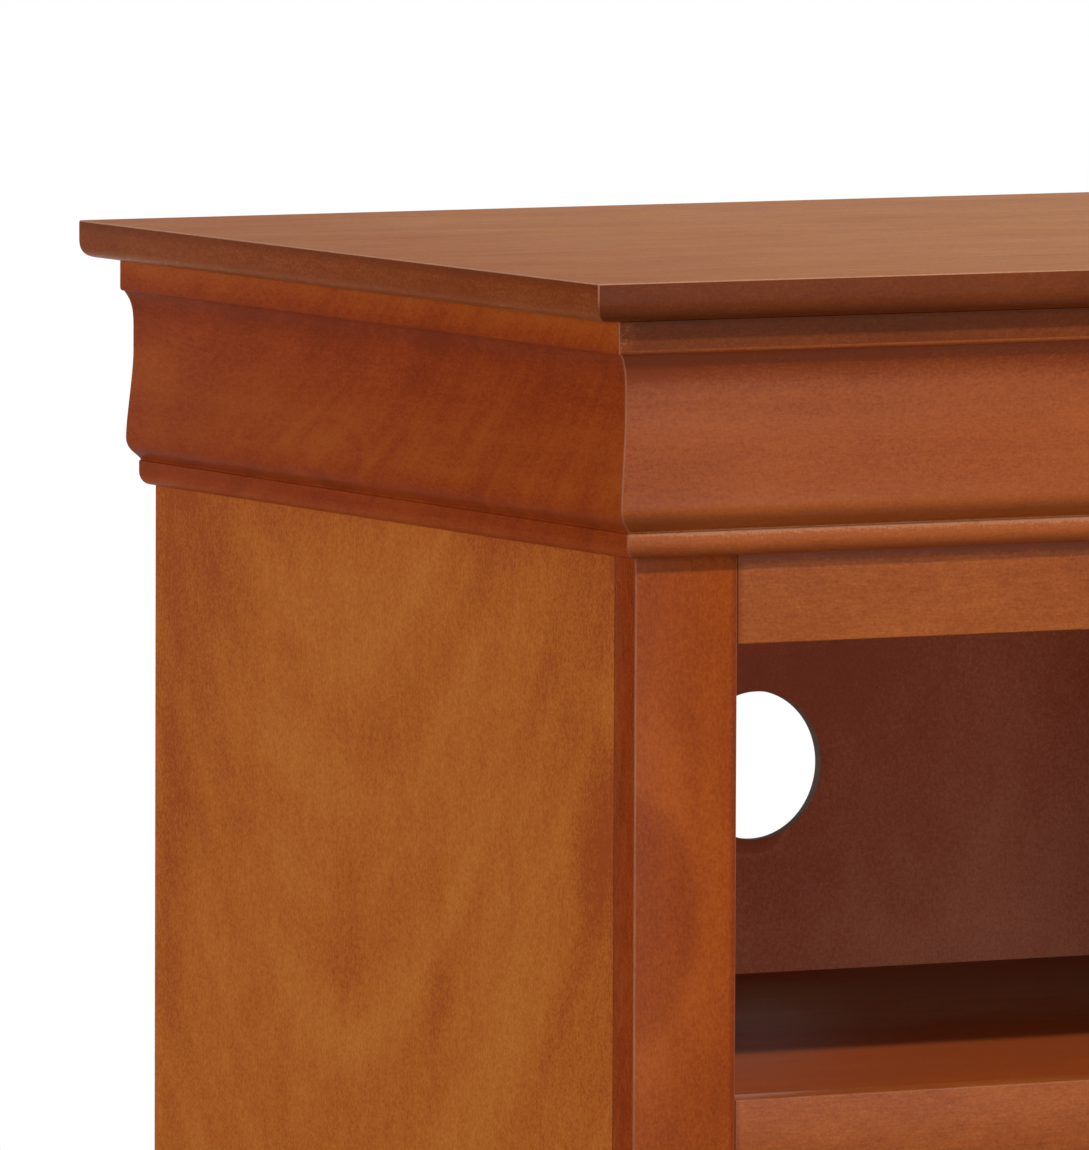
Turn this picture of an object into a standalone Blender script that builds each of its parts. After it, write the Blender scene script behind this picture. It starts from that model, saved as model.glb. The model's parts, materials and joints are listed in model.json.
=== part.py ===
"""Media chest: an open bay in two halves over three full-width drawers, on a bracket-foot plinth.

Metres, +Z up. X runs along the front and Y from the front to the back. The origin lies on the floor
under the middle of the top. The top, an ogee frieze moulding and the plinth are mitred at both front
corners. Pieces that touch keep a gap of GAP.
"""

import math

import bmesh
import bpy
from mathutils import Matrix, Vector

# Joints between pieces
GAP = 0.0003
MITRE_GAP = 0.0002
RAIL_JOINT_GAP = 0.0006

# Overall size
HEIGHT = 0.965
TOP_WIDTH = 1.092
TOP_DEPTH = 0.432

# Top: a thin slab with a small round above and a thumbnail edge below, on the front and sides
TOP_THICKNESS = 0.015
TOP_OVERHANG_FRONT = 0.0254
TOP_OVERHANG_SIDE = 0.030
TOP_OVERHANG_REAR = 0.008
TOP_UPPER_ROUND = 0.0012
TOP_THUMBNAIL = 0.008
TOP_CORNER_ROUND = 0.0012

# Frieze moulding: distances out from the case, and heights
FRIEZE_HEIGHT = 0.090
FRIEZE_FILLET_OUT = 0.0159
FRIEZE_FILLET_HEIGHT = 0.0126
FRIEZE_HOLLOW_OUT = 0.0100
FRIEZE_BELLY_OUT = 0.0132
FRIEZE_BEAD_OUT = 0.0074
FRIEZE_BEAD_HEIGHT = 0.0100
FRIEZE_BEAD_ROUND = 0.0055
FRIEZE_BEAD_CREST = 0.0012
FRIEZE_QUIRK = 0.0006

# Case
SIDE_THICKNESS = 0.016
FRAME_THICKNESS = 0.0162
STILE_WIDTH = 0.0436
FRAME_ARRIS = 0.0006
BACK_INSET = 0.007
BACK_THICKNESS = 0.005
BACK_REBATE = 0.008

# Bay: open at the front, over a floor, in two halves
BAY_HEIGHT = 0.172
TOP_RAIL_SHOWING = 0.034
BAY_FLOOR_THICKNESS = 0.016
BAY_RAIL_HEIGHT = 0.030
DIVIDER_THICKNESS = 0.016
DIVIDER_HOUSING = 0.003
DIVIDER_STILE_WIDTH = 0.0436
CABLE_HOLE_DIAMETER = 0.060
CABLE_HOLE_SIDES = 40
CABLE_HOLE_INWARD = 0.0035
CABLE_HOLE_DROP = 0.0018
REAR_RAIL_HEIGHT = 0.040
REAR_RAIL_THICKNESS = 0.018

# Drawers and what carries them
DRAWERS = 3
DRAWER_RAIL_HEIGHT = 0.018
BOTTOM_RAIL_HEIGHT = 0.040
BOTTOM_THICKNESS = 0.016
DRAWER_REVEAL = 0.002
DRAWER_FRONT_THICKNESS = 0.020
DRAWER_FRONT_ROUND = 0.0015
DRAWER_FRONT_SETBACK = 0.001
DRAWER_SIDE_THICKNESS = 0.012
DRAWER_SIDE_CLEARANCE = 0.002
DRAWER_HEADROOM = 0.018
DRAWER_UNDER_SPACE = 0.004
DRAWER_REAR_SPACE = 0.020
DRAWER_PANEL_THICKNESS = 0.005
DRAWER_PANEL_HEIGHT = 0.010
DRAWER_PANEL_GROOVE = 0.005
RUNNER_HEIGHT = 0.016
RUNNER_GROOVE = 0.006
RUNNER_CLEARANCE = 0.0005
RUNNER_FRONT_SPACE = 0.002

# Bail pulls, two on each drawer
PULL_SPACING = 0.480
PULL_POST_SPACING = 0.076
PULL_AXIS_OUT = 0.0165
PLATE_THICKNESS = 0.0022
PLATE_DOME = 0.0010
PLATE_ROUND_RADIUS = 0.0125
PLATE_NECK_RADIUS = 0.0045
POST_RADIUS = 0.0034
POST_FOOT_RADIUS = 0.0060
KNUCKLE_RADIUS = 0.0052
POST_SIDES = 12
BAIL_PIN_RADIUS = 0.0018
BAIL_GRIP_RADIUS = 0.0034
BAIL_PIN_CLEARANCE = 0.0005
BAIL_PIN_OVERRUN = 0.0015
BAIL_SHOULDER_SPACE = 0.0015
BAIL_BEND = 0.006
BAIL_DROP = 0.032

# Plinth and its cap moulding
PLINTH_HEIGHT = 0.100
PLINTH_OUT = 0.010
PLINTH_THICKNESS = 0.022
APRON_DEPTH = 0.045
FOOT_WIDTH = 0.100
FOOT_CURVE = 0.050
PLINTH_BACK_CLEARANCE = 0.030
CAP_HEIGHT = 0.020
CAP_FILLET = 0.004
CAP_OVERHANG = 0.002
CAP_TOP_OUT = 0.003

# Worked out from the sizes above
CASE_WIDTH = TOP_WIDTH - 2 * TOP_OVERHANG_SIDE
HALF = CASE_WIDTH / 2
FRONT_Y = TOP_OVERHANG_FRONT - TOP_DEPTH / 2
REAR_Y = TOP_DEPTH / 2 - TOP_OVERHANG_REAR
INNER_X = HALF - SIDE_THICKNESS
OPENING_X = HALF - STILE_WIDTH
FRAME_BACK_Y = FRONT_Y + FRAME_THICKNESS
BACK_Y = REAR_Y - BACK_INSET - BACK_THICKNESS
CASE_TOP = HEIGHT - TOP_THICKNESS
FRIEZE_BOTTOM = CASE_TOP - FRIEZE_HEIGHT
BAY_TOP = FRIEZE_BOTTOM - TOP_RAIL_SHOWING
BAY_FLOOR_TOP = BAY_TOP - BAY_HEIGHT
BAY_FLOOR_BOTTOM = BAY_FLOOR_TOP - BAY_FLOOR_THICKNESS
BAY_RAIL_BOTTOM = BAY_FLOOR_TOP - BAY_RAIL_HEIGHT
BOTTOM_RAIL_TOP = PLINTH_HEIGHT + BOTTOM_RAIL_HEIGHT
DRAWER_ZONE = BAY_RAIL_BOTTOM - BOTTOM_RAIL_TOP
DRAWER_OPENING = (DRAWER_ZONE - (DRAWERS - 1) * DRAWER_RAIL_HEIGHT) / DRAWERS
DRAWER_PITCH = DRAWER_OPENING + DRAWER_RAIL_HEIGHT
DRAWER_FRONT_Y = FRONT_Y + DRAWER_FRONT_SETBACK
DRAWER_INNER_Y = DRAWER_FRONT_Y + DRAWER_FRONT_THICKNESS
DRAWER_BACK_Y = BACK_Y - DRAWER_REAR_SPACE
DRAWER_SIDE_X = OPENING_X - DRAWER_SIDE_CLEARANCE
DRAWER_INNER_X = DRAWER_SIDE_X - DRAWER_SIDE_THICKNESS
PULL_AXIS_Y = DRAWER_FRONT_Y - PULL_AXIS_OUT


def clear_scene():
    """Remove the objects that the scene already holds."""
    for obj in list(bpy.data.objects):
        bpy.data.objects.remove(obj, do_unlink=True)


def finish(name, colour, roughness, metallic=0.0):
    """A Principled BSDF material in one linear colour."""
    material = bpy.data.materials.new(name)
    material.use_nodes = True
    shader = material.node_tree.nodes["Principled BSDF"]
    shader.inputs["Base Color"].default_value = (*colour, 1.0)
    shader.inputs["Roughness"].default_value = roughness
    shader.inputs["Metallic"].default_value = metallic
    return material


def add_object(name, data, material, parent=None):
    """Link a mesh or curve made in world coordinates as one named piece, hung on its parent."""
    data.materials.append(material)
    piece = bpy.data.objects.new(name, data)
    bpy.context.scene.collection.objects.link(piece)
    if parent is not None:
        data.transform(Matrix.Translation(-parent.matrix_world.translation))
        piece.parent = parent
    return piece


def add_mesh(name, bm, material, parent=None):
    """Turn a bmesh into a piece, with its faces out and its curved parts shaded smooth."""
    bmesh.ops.recalc_face_normals(bm, faces=bm.faces)
    mesh = bpy.data.meshes.new(name)
    bm.to_mesh(mesh)
    bm.free()
    mesh.shade_smooth()
    mesh.set_sharp_from_angle(angle=math.radians(35))
    return add_object(name, mesh, material, parent)


def add_empty(name, location, parent=None):
    """An empty that carries moving pieces, at a world location."""
    empty = bpy.data.objects.new(name, None)
    bpy.context.scene.collection.objects.link(empty)
    if parent is not None:
        empty.parent = parent
        location = Vector(location) - parent.matrix_world.translation
    empty.location = location
    bpy.context.view_layer.update()
    return empty


def add_cutter(name, bm):
    """A hidden helper for a Boolean."""
    bmesh.ops.recalc_face_normals(bm, faces=bm.faces)
    mesh = bpy.data.meshes.new(name)
    bm.to_mesh(mesh)
    bm.free()
    cutter = bpy.data.objects.new(name, mesh)
    bpy.context.scene.collection.objects.link(cutter)
    cutter.hide_render = True
    cutter.display_type = "WIRE"
    return cutter


def combine(piece, helper, operation):
    """Join a hidden helper to a piece (UNION), or cut it out (DIFFERENCE)."""
    modifier = piece.modifiers.new(operation.title(), "BOOLEAN")
    modifier.operation = operation
    modifier.solver = "EXACT"
    modifier.object = helper


def loft(bm, rings):
    """Close a solid over rings of points, with quads between neighbours and a face on each end."""
    loops = [[bm.verts.new(point) for point in ring] for ring in rings]
    for lower, upper in zip(loops, loops[1:]):
        for index, vert in enumerate(lower):
            following = (index + 1) % len(lower)
            bm.faces.new((vert, lower[following], upper[following], upper[index]))
    bm.faces.new(loops[0])
    bm.faces.new(reversed(loops[-1]))


def box(bm, low, high):
    """A box between two corners."""
    corners = [(low[0], low[1]), (high[0], low[1]), (high[0], high[1]), (low[0], high[1])]
    loft(bm, [[(x, y, z) for x, y in corners] for z in (low[2], high[2])])


def ease_front(bm, y, width, segments=2):
    """Round the arrises of the faces that lie at the front, at y."""
    edges = [edge for edge in bm.edges if all(abs(vert.co.y - y) < 1e-6 for vert in edge.verts)]
    bmesh.ops.bevel(bm, geom=edges, offset=width, segments=segments, profile=0.5, affect="EDGES")


def add_board(name, low, high, material, arris=0.0, parent=None):
    """A rectangular board, whose front arrises are eased where an arris is given."""
    bm = bmesh.new()
    box(bm, low, high)
    if arris:
        ease_front(bm, low[1], arris, segments=1)
    return add_mesh(name, bm, material, parent)


def circle(centre, radius, sides, axis):
    """Points round a centre, in the plane across the axis (0 for X, 1 for Y, 2 for Z)."""
    points = []
    for index in range(sides):
        angle = 2 * math.pi * (index + 0.5) / sides
        point = [radius * math.cos(angle), radius * math.sin(angle)]
        point.insert(axis, 0.0)
        points.append(Vector(centre) + Vector(point))
    return points


def bezier(start, leave, arrive, end, steps):
    """Points on a cubic curve, without its start."""
    points = []
    for index in range(1, steps + 1):
        t = index / steps
        weights = ((1 - t) ** 3, 3 * t * (1 - t) ** 2, 3 * t**2 * (1 - t), t**3)
        controls = (start, leave, arrive, end)
        points.append(tuple(sum(w * c[k] for w, c in zip(weights, controls)) for k in (0, 1)))
    return points


def top_section():
    """(inset, height above the underside) up the edge of the top, from the underside."""
    size = TOP_THUMBNAIL
    thumbnail = bezier((size, 0.0), (0.28 * size, 0.09 * size), (0.0, 0.35 * size), (0.0, size), 6)
    points = [(size, 0.0), *thumbnail]
    for index in range(4):
        angle = math.pi / 2 * index / 3
        inset = TOP_UPPER_ROUND * (1 - math.cos(angle))
        height = TOP_THICKNESS - TOP_UPPER_ROUND * (1 - math.sin(angle))
        points.append((inset, height))
    return points


def make_top(material):
    """The top: one ring of points for each height of its edge section, square at the rear."""
    rings = []
    half_width = TOP_WIDTH / 2
    for inset, height in top_section():
        radius = TOP_CORNER_ROUND
        side = half_width - inset
        front = inset - TOP_DEPTH / 2
        ring = []
        for sign in (-1, 1):
            corner = []
            for index in range(3):
                angle = math.pi / 2 * index / 2
                x = sign * (side - radius * (1 - math.cos(angle)))
                y = front + radius * (1 - math.sin(angle))
                corner.append((x, y, CASE_TOP + height))
            ring.extend(corner if sign < 0 else reversed(corner))
        ring.append((side, TOP_DEPTH / 2, CASE_TOP + height))
        ring.append((-side, TOP_DEPTH / 2, CASE_TOP + height))
        rings.append(ring)
    bm = bmesh.new()
    loft(bm, rings)
    add_mesh("top_slab", bm, material)


def run_end(face, end, out):
    """(x, y) at one end of a run along a face of the case, out from it; end is 0 or 1.

    Both ends of the front run and the first end of a side run are mitred.
    """
    if face == "front":
        sign = 2 * end - 1
        return sign * (HALF + out - MITRE_GAP), FRONT_Y - out
    side = -1 if face == "left" else 1
    return side * (HALF + out), REAR_Y if end else FRONT_Y - out + MITRE_GAP


def add_moulding(name, face, section, material):
    """A moulding of one section, as (out, height) points, along a face of the case."""
    bm = bmesh.new()
    loft(bm, [[(*run_end(face, end, out), z) for out, z in section] for end in (0, 1)])
    add_mesh(name, bm, material)


def frieze_section():
    """The frieze from the back of its foot: bead, quirk, belly, hollow and top fillet."""
    bead_top = FRIEZE_BEAD_HEIGHT
    fillet_bottom = FRIEZE_HEIGHT - GAP - FRIEZE_FILLET_HEIGHT
    ogee = fillet_bottom - bead_top
    quirk_out = FRIEZE_BEAD_OUT - FRIEZE_QUIRK
    belly = (FRIEZE_BELLY_OUT, bead_top + 0.177 * ogee)
    hollow_low = (FRIEZE_HOLLOW_OUT, bead_top + 0.668 * ogee)
    hollow_high = (FRIEZE_HOLLOW_OUT, bead_top + 0.793 * ogee)
    points = [(GAP, 0.0)]
    for index in range(5):
        angle = math.pi / 2 * index / 4
        out = FRIEZE_BEAD_OUT - FRIEZE_BEAD_ROUND * (1 - math.sin(angle))
        points.append((out, FRIEZE_BEAD_ROUND * (1 - math.cos(angle))))
    for index in range(3):
        angle = math.pi / 2 * index / 2
        out = FRIEZE_BEAD_OUT - FRIEZE_BEAD_CREST * (1 - math.cos(angle))
        points.append((out, bead_top - FRIEZE_BEAD_CREST * (1 - math.sin(angle))))
    quirk = (quirk_out, bead_top + 0.01 * ogee)
    points.append(quirk)
    points += bezier(quirk, (quirk_out + 0.002, bead_top + 0.03 * ogee),
                     (FRIEZE_BELLY_OUT, bead_top + 0.09 * ogee), belly, 5)
    points += bezier(belly, (FRIEZE_BELLY_OUT, bead_top + 0.24 * ogee),
                     (FRIEZE_HOLLOW_OUT + 0.0009, bead_top + 0.48 * ogee), hollow_low, 6)
    points.append(hollow_high)
    points += bezier(hollow_high, (FRIEZE_HOLLOW_OUT, bead_top + 0.92 * ogee),
                     (FRIEZE_FILLET_OUT, bead_top + 0.94 * ogee), (FRIEZE_FILLET_OUT, fillet_bottom), 6)
    points += [(FRIEZE_FILLET_OUT, FRIEZE_HEIGHT - GAP), (GAP, FRIEZE_HEIGHT - GAP)]
    return [(out, FRIEZE_BOTTOM + z) for out, z in points]


def cap_section():
    """The moulding over the plinth: a fillet, then a hollow up to the case."""
    low = PLINTH_HEIGHT + GAP
    nose = PLINTH_OUT + CAP_OVERHANG
    fillet_top = low + CAP_FILLET
    top = PLINTH_HEIGHT + CAP_HEIGHT
    hollow = bezier((nose, fillet_top), (0.55 * nose, fillet_top + 0.002),
                    (CAP_TOP_OUT + 0.002, fillet_top + 0.5 * (top - fillet_top)), (CAP_TOP_OUT, top), 6)
    return [(GAP, low), (nose, low), (nose, fillet_top), *hollow, (GAP, top)]


def make_frieze_and_cap(material):
    """The two mouldings that run round the case, in three mitred lengths each."""
    for face in ("front", "left", "right"):
        add_moulding(f"frieze_{face}", face, frieze_section(), material)
        add_moulding(f"base_cap_{face}", face, cap_section(), material)


def plinth_outline(face, out):
    """(x, y, z) points of a plinth board at a distance out: two feet and the arched apron between."""
    apron = PLINTH_HEIGHT - APRON_DEPTH
    x0, y0 = run_end(face, 0, out)
    x1, y1 = run_end(face, 1, out)
    if face == "front":
        first, last = FOOT_WIDTH - HALF, HALF - FOOT_WIDTH
    else:
        first, last = FRONT_Y + FOOT_WIDTH, REAR_Y - FOOT_WIDTH
    rise = bezier((0.0, 0.0), (0.05 * FOOT_CURVE, 0.6 * apron),
                  (0.35 * FOOT_CURVE, apron), (FOOT_CURVE, apron), 6)
    along = [(first, 0.0), *((first + a, z) for a, z in rise)]
    along += [*((last - a, z) for a, z in reversed(rise)), (last, 0.0)]
    if face == "front":
        edge = [(a, y0, z) for a, z in along]
    else:
        edge = [(x0, a, z) for a, z in along]
    return [(x0, y0, 0.0), *edge, (x1, y1, 0.0), (x1, y1, PLINTH_HEIGHT),
            (x0, y0, PLINTH_HEIGHT)]


def make_plinth(material, inner_material):
    """The plinth: three moulded boards round the front and sides, and a plain one across the back."""
    for face in ("front", "left", "right"):
        bm = bmesh.new()
        loft(bm, [plinth_outline(face, out) for out in (PLINTH_OUT - PLINTH_THICKNESS, PLINTH_OUT)])
        add_mesh(f"plinth_{face}", bm, material)
    inside_x = HALF + PLINTH_OUT - PLINTH_THICKNESS - GAP
    add_board("plinth_back", (-inside_x, REAR_Y - PLINTH_THICKNESS, PLINTH_BACK_CLEARANCE),
              (inside_x, REAR_Y, PLINTH_HEIGHT), inner_material)


def make_sides(veneer, solid):
    """Side panels with a rebate for the back, and the front stiles that they butt against."""
    for side, word in ((-1, "left"), (1, "right")):
        plan = [
            (HALF, FRAME_BACK_Y + GAP), (INNER_X, FRAME_BACK_Y + GAP), (INNER_X, BACK_Y),
            (INNER_X + BACK_REBATE, BACK_Y), (INNER_X + BACK_REBATE, REAR_Y), (HALF, REAR_Y),
        ]
        bm = bmesh.new()
        heights = (PLINTH_HEIGHT + GAP, CASE_TOP - GAP)
        loft(bm, [[(side * x, y, z) for x, y in plan] for z in heights])
        add_mesh(f"{word}_side_panel", bm, veneer)
        ends = sorted((side * OPENING_X, side * HALF))
        add_board(f"{word}_stile", (ends[0], FRONT_Y, PLINTH_HEIGHT + GAP),
                  (ends[1], FRAME_BACK_Y, CASE_TOP - GAP), solid, FRAME_ARRIS)


def add_rail(name, low, high, material):
    """A rail of the front frame, between the two stiles."""
    half = OPENING_X - RAIL_JOINT_GAP
    add_board(name, (-half, FRONT_Y, low), (half, FRAME_BACK_Y, high), material, FRAME_ARRIS)


def make_rails(material):
    """The rails of the front frame, from the top down."""
    add_rail("bay_top_rail", BAY_TOP, CASE_TOP - GAP, material)
    add_rail("bay_floor_rail", BAY_RAIL_BOTTOM, BAY_FLOOR_TOP, material)
    for index, word in enumerate(("upper", "lower")):
        low = BAY_RAIL_BOTTOM - (index + 1) * DRAWER_PITCH
        add_rail(f"{word}_drawer_rail", low, low + DRAWER_RAIL_HEIGHT, material)
    add_rail("bottom_rail", PLINTH_HEIGHT + GAP, BOTTOM_RAIL_TOP, material)


def make_bay(veneer, solid, inner_material):
    """The bay's floor, the divider housed in it, the rear rail, and the panel that closes the case below."""
    behind_frame = FRAME_BACK_Y + GAP
    inner = INNER_X - GAP
    rear = BACK_Y - GAP
    half_divider = DIVIDER_THICKNESS / 2
    housing_bottom = BAY_FLOOR_TOP - DIVIDER_HOUSING
    half_housing = half_divider + GAP
    end_view = [
        (-inner, BAY_FLOOR_BOTTOM), (inner, BAY_FLOOR_BOTTOM), (inner, BAY_FLOOR_TOP),
        (half_housing, BAY_FLOOR_TOP), (half_housing, housing_bottom),
        (-half_housing, housing_bottom), (-half_housing, BAY_FLOOR_TOP), (-inner, BAY_FLOOR_TOP),
    ]
    bm = bmesh.new()
    loft(bm, [[(x, y, z) for x, z in end_view] for y in (behind_frame, rear)])
    add_mesh("bay_floor", bm, veneer)
    add_board("bottom_panel", (-inner, behind_frame, PLINTH_HEIGHT + GAP),
              (inner, rear, PLINTH_HEIGHT + BOTTOM_THICKNESS), inner_material)
    rail_front = rear - REAR_RAIL_THICKNESS
    rail_bottom = CASE_TOP - REAR_RAIL_HEIGHT
    add_board("rear_top_rail", (-inner, rail_front, rail_bottom), (inner, rear, CASE_TOP - GAP),
              inner_material)
    half_stile = DIVIDER_STILE_WIDTH / 2
    add_board("bay_divider_stile", (-half_stile, FRONT_Y, BAY_FLOOR_TOP + GAP),
              (half_stile, FRAME_BACK_Y, BAY_TOP - GAP), solid, FRAME_ARRIS)
    divider_bottom = housing_bottom + GAP
    side_view = [
        (behind_frame, divider_bottom), (rear, divider_bottom), (rear, rail_bottom - GAP),
        (rail_front - GAP, rail_bottom - GAP), (rail_front - GAP, CASE_TOP - GAP),
        (behind_frame, CASE_TOP - GAP),
    ]
    bm = bmesh.new()
    loft(bm, [[(x, y, z) for y, z in side_view] for x in (-half_divider, half_divider)])
    add_mesh("bay_divider", bm, veneer)


def make_back(veneer):
    """The back panel in the side panels' rebates, with a cable hole for each half of the bay."""
    half = INNER_X + BACK_REBATE - GAP
    low_y, high_y = BACK_Y + GAP, BACK_Y + BACK_THICKNESS
    panel = add_board("back_panel", (-half, low_y, PLINTH_HEIGHT + GAP),
                      (half, high_y, CASE_TOP - GAP), veneer)
    holes = bmesh.new()
    height = (BAY_TOP + BAY_FLOOR_TOP) / 2 - CABLE_HOLE_DROP
    centre_x = (INNER_X + DIVIDER_THICKNESS / 2) / 2 - CABLE_HOLE_INWARD
    for side in (-1, 1):
        loft(holes, [circle((side * centre_x, y, height), CABLE_HOLE_DIAMETER / 2, CABLE_HOLE_SIDES, 1)
                     for y in (low_y - BACK_THICKNESS, high_y + BACK_THICKNESS)])
    combine(panel, add_cutter("cable_hole_cutter", holes), "DIFFERENCE")


def drawer_heights(number):
    """(bottom, top) of a drawer's opening in the front frame; drawer 1 is the uppermost."""
    top = BAY_RAIL_BOTTOM - (number - 1) * DRAWER_PITCH
    return top - DRAWER_OPENING, top


def runner_height(number):
    """Height of the middle of a drawer's runners."""
    low, high = drawer_heights(number)
    return (low + high) / 2


def make_runners(number, material):
    """A drawer's two wooden runners, on the side panels and reaching into the drawer sides' grooves."""
    tip = DRAWER_SIDE_X - RUNNER_GROOVE + RUNNER_CLEARANCE
    middle = runner_height(number)
    front = max(FRAME_BACK_Y, DRAWER_INNER_Y) + RUNNER_FRONT_SPACE
    for side, word in ((-1, "left"), (1, "right")):
        ends = sorted((side * (INNER_X - GAP), side * tip))
        add_board(f"drawer_{number}_runner_{word}",
                  (ends[0], front, middle - RUNNER_HEIGHT / 2),
                  (ends[1], BACK_Y - GAP, middle + RUNNER_HEIGHT / 2), material)


def drawer_side_section(number):
    """(distance out from the middle, height) section of a drawer side, with its two grooves."""
    low, high = drawer_heights(number)
    low += DRAWER_UNDER_SPACE
    high -= DRAWER_HEADROOM
    middle = runner_height(number)
    half_groove = RUNNER_HEIGHT / 2 + RUNNER_CLEARANCE
    panel_low = low + DRAWER_PANEL_HEIGHT - GAP
    panel_high = low + DRAWER_PANEL_HEIGHT + DRAWER_PANEL_THICKNESS + GAP
    outer = DRAWER_SIDE_X
    inner = DRAWER_INNER_X
    return [
        (outer, low), (outer, middle - half_groove), (outer - RUNNER_GROOVE, middle - half_groove),
        (outer - RUNNER_GROOVE, middle + half_groove), (outer, middle + half_groove), (outer, high),
        (inner, high), (inner, panel_high), (inner + DRAWER_PANEL_GROOVE, panel_high),
        (inner + DRAWER_PANEL_GROOVE, panel_low), (inner, panel_low), (inner, low),
    ]


def make_drawer(number, solid, box_material, panel_material, brass):
    """One drawer with its box, and two bail pulls."""
    name = f"drawer_{number}"
    low, high = drawer_heights(number)
    carrier = add_empty(f"{name}_slide", (0.0, DRAWER_FRONT_Y, (low + high) / 2))
    half_front = OPENING_X - DRAWER_REVEAL
    bm = bmesh.new()
    box(bm, (-half_front, DRAWER_FRONT_Y, low + DRAWER_REVEAL),
        (half_front, DRAWER_INNER_Y, high - DRAWER_REVEAL))
    ease_front(bm, DRAWER_FRONT_Y, DRAWER_FRONT_ROUND)
    front = add_mesh(f"{name}_front", bm, solid, carrier)
    section = drawer_side_section(number)
    box_low = low + DRAWER_UNDER_SPACE
    box_high = high - DRAWER_HEADROOM
    behind_front = DRAWER_INNER_Y + GAP
    for side, word in ((-1, "left"), (1, "right")):
        bm = bmesh.new()
        loft(bm, [[(side * x, y, z) for x, z in section] for y in (behind_front, DRAWER_BACK_Y)])
        add_mesh(f"{name}_side_{word}", bm, box_material, carrier)
    panel_low = box_low + DRAWER_PANEL_HEIGHT
    panel_high = panel_low + DRAWER_PANEL_THICKNESS
    panel_half = DRAWER_INNER_X + DRAWER_PANEL_GROOVE - GAP
    panel_front = DRAWER_INNER_Y - DRAWER_PANEL_GROOVE
    add_board(f"{name}_bottom", (-panel_half, panel_front + GAP, panel_low),
              (panel_half, DRAWER_BACK_Y, panel_high), panel_material, parent=carrier)
    back_half = DRAWER_INNER_X - GAP
    add_board(f"{name}_back", (-back_half, DRAWER_BACK_Y - DRAWER_SIDE_THICKNESS, panel_high + GAP),
              (back_half, DRAWER_BACK_Y, box_high), box_material, parent=carrier)
    groove = bmesh.new()
    box(groove, (-panel_half - GAP, panel_front, panel_low - GAP),
        (panel_half + GAP, DRAWER_INNER_Y + DRAWER_PANEL_GROOVE, panel_high + GAP))
    combine(front, add_cutter(f"{name}_groove_cutter", groove), "DIFFERENCE")
    axis_height = (low + high) / 2 + BAIL_DROP / 2
    for side, word in ((-1, "left"), (1, "right")):
        centre = (side * PULL_SPACING / 2, PULL_AXIS_Y, axis_height)
        make_pull(f"{name}_pull_{word}", centre, carrier, brass)


def plate_outline(shrink):
    """(x, height) outline of a pull's plate, round at each post and necked between them."""
    radius = PLATE_ROUND_RADIUS - shrink
    neck = PLATE_NECK_RADIUS - shrink
    post = PULL_POST_SPACING / 2
    quarter = []
    for index in range(7):
        angle = math.radians(125) * index / 6
        quarter.append((post + radius * math.cos(angle), radius * math.sin(angle)))
    shoulder = quarter[-1]
    lean = (shoulder[0] - 0.5 * radius, shoulder[1] - 0.35 * radius)
    quarter += bezier(shoulder, lean, (0.55 * post, neck), (0.25 * post, neck), 4)
    upper = quarter + [(-x, z) for x, z in reversed(quarter)]
    return upper + [(x, -z) for x, z in reversed(upper[1:-1])]


def post_section():
    """(radius, distance out from the drawer front) of a turned post: foot, stem and knuckle."""
    foot = PLATE_THICKNESS
    points = [
        (POST_FOOT_RADIUS, 0.5 * foot), (POST_FOOT_RADIUS, 1.2 * foot),
        (POST_RADIUS, 2.0 * foot), (POST_RADIUS, PULL_AXIS_OUT - KNUCKLE_RADIUS),
    ]
    for degrees in (-42, -14, 14, 42, 68):
        angle = math.radians(degrees)
        out = PULL_AXIS_OUT + KNUCKLE_RADIUS * math.sin(angle)
        points.append((KNUCKLE_RADIUS * math.cos(angle), out))
    return points


def bail_path():
    """(x, height) points of a bail, from one pin to the other, about its axis."""
    pin_end = PULL_POST_SPACING / 2 - KNUCKLE_RADIUS - BAIL_PIN_OVERRUN
    shoulder = PULL_POST_SPACING / 2 + KNUCKLE_RADIUS + BAIL_SHOULDER_SPACE
    half = [(pin_end, 0.0), (shoulder, 0.0)]
    for index in (1, 2, 3):
        angle = math.pi / 2 * index / 3
        half.append((shoulder + BAIL_BEND * math.sin(angle), BAIL_BEND * (math.cos(angle) - 1)))
    reach = shoulder + BAIL_BEND
    for index in range(1, 8):
        angle = math.pi / 2 * index / 8
        half.append((reach * math.cos(angle), -BAIL_BEND - (BAIL_DROP - BAIL_BEND) * math.sin(angle)))
    mirrored = [(-x, z) for x, z in reversed(half)]
    return half + [(0.0, -BAIL_DROP)] + mirrored


def add_bail(name, centre, carrier, material):
    """A bail of round bar, thicker along the grip, on an empty that lies on its pin axis."""
    hinge = add_empty(f"{name}_hinge", centre, carrier)
    curve = bpy.data.curves.new(name, "CURVE")
    curve.dimensions = "3D"
    curve.bevel_depth = BAIL_GRIP_RADIUS
    curve.bevel_resolution = 2
    curve.use_fill_caps = True
    path = bail_path()
    spline = curve.splines.new("POLY")
    spline.points.add(len(path) - 1)
    thin = BAIL_PIN_RADIUS / BAIL_GRIP_RADIUS
    for point, (x, z) in zip(spline.points, path):
        point.co = (centre[0] + x, centre[1], centre[2] + z, 1.0)
        point.radius = thin + (1 - thin) * min(1.0, max(0.0, -z / BAIL_DROP)) ** 0.7
    add_object(name, curve, material, hinge)


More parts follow.
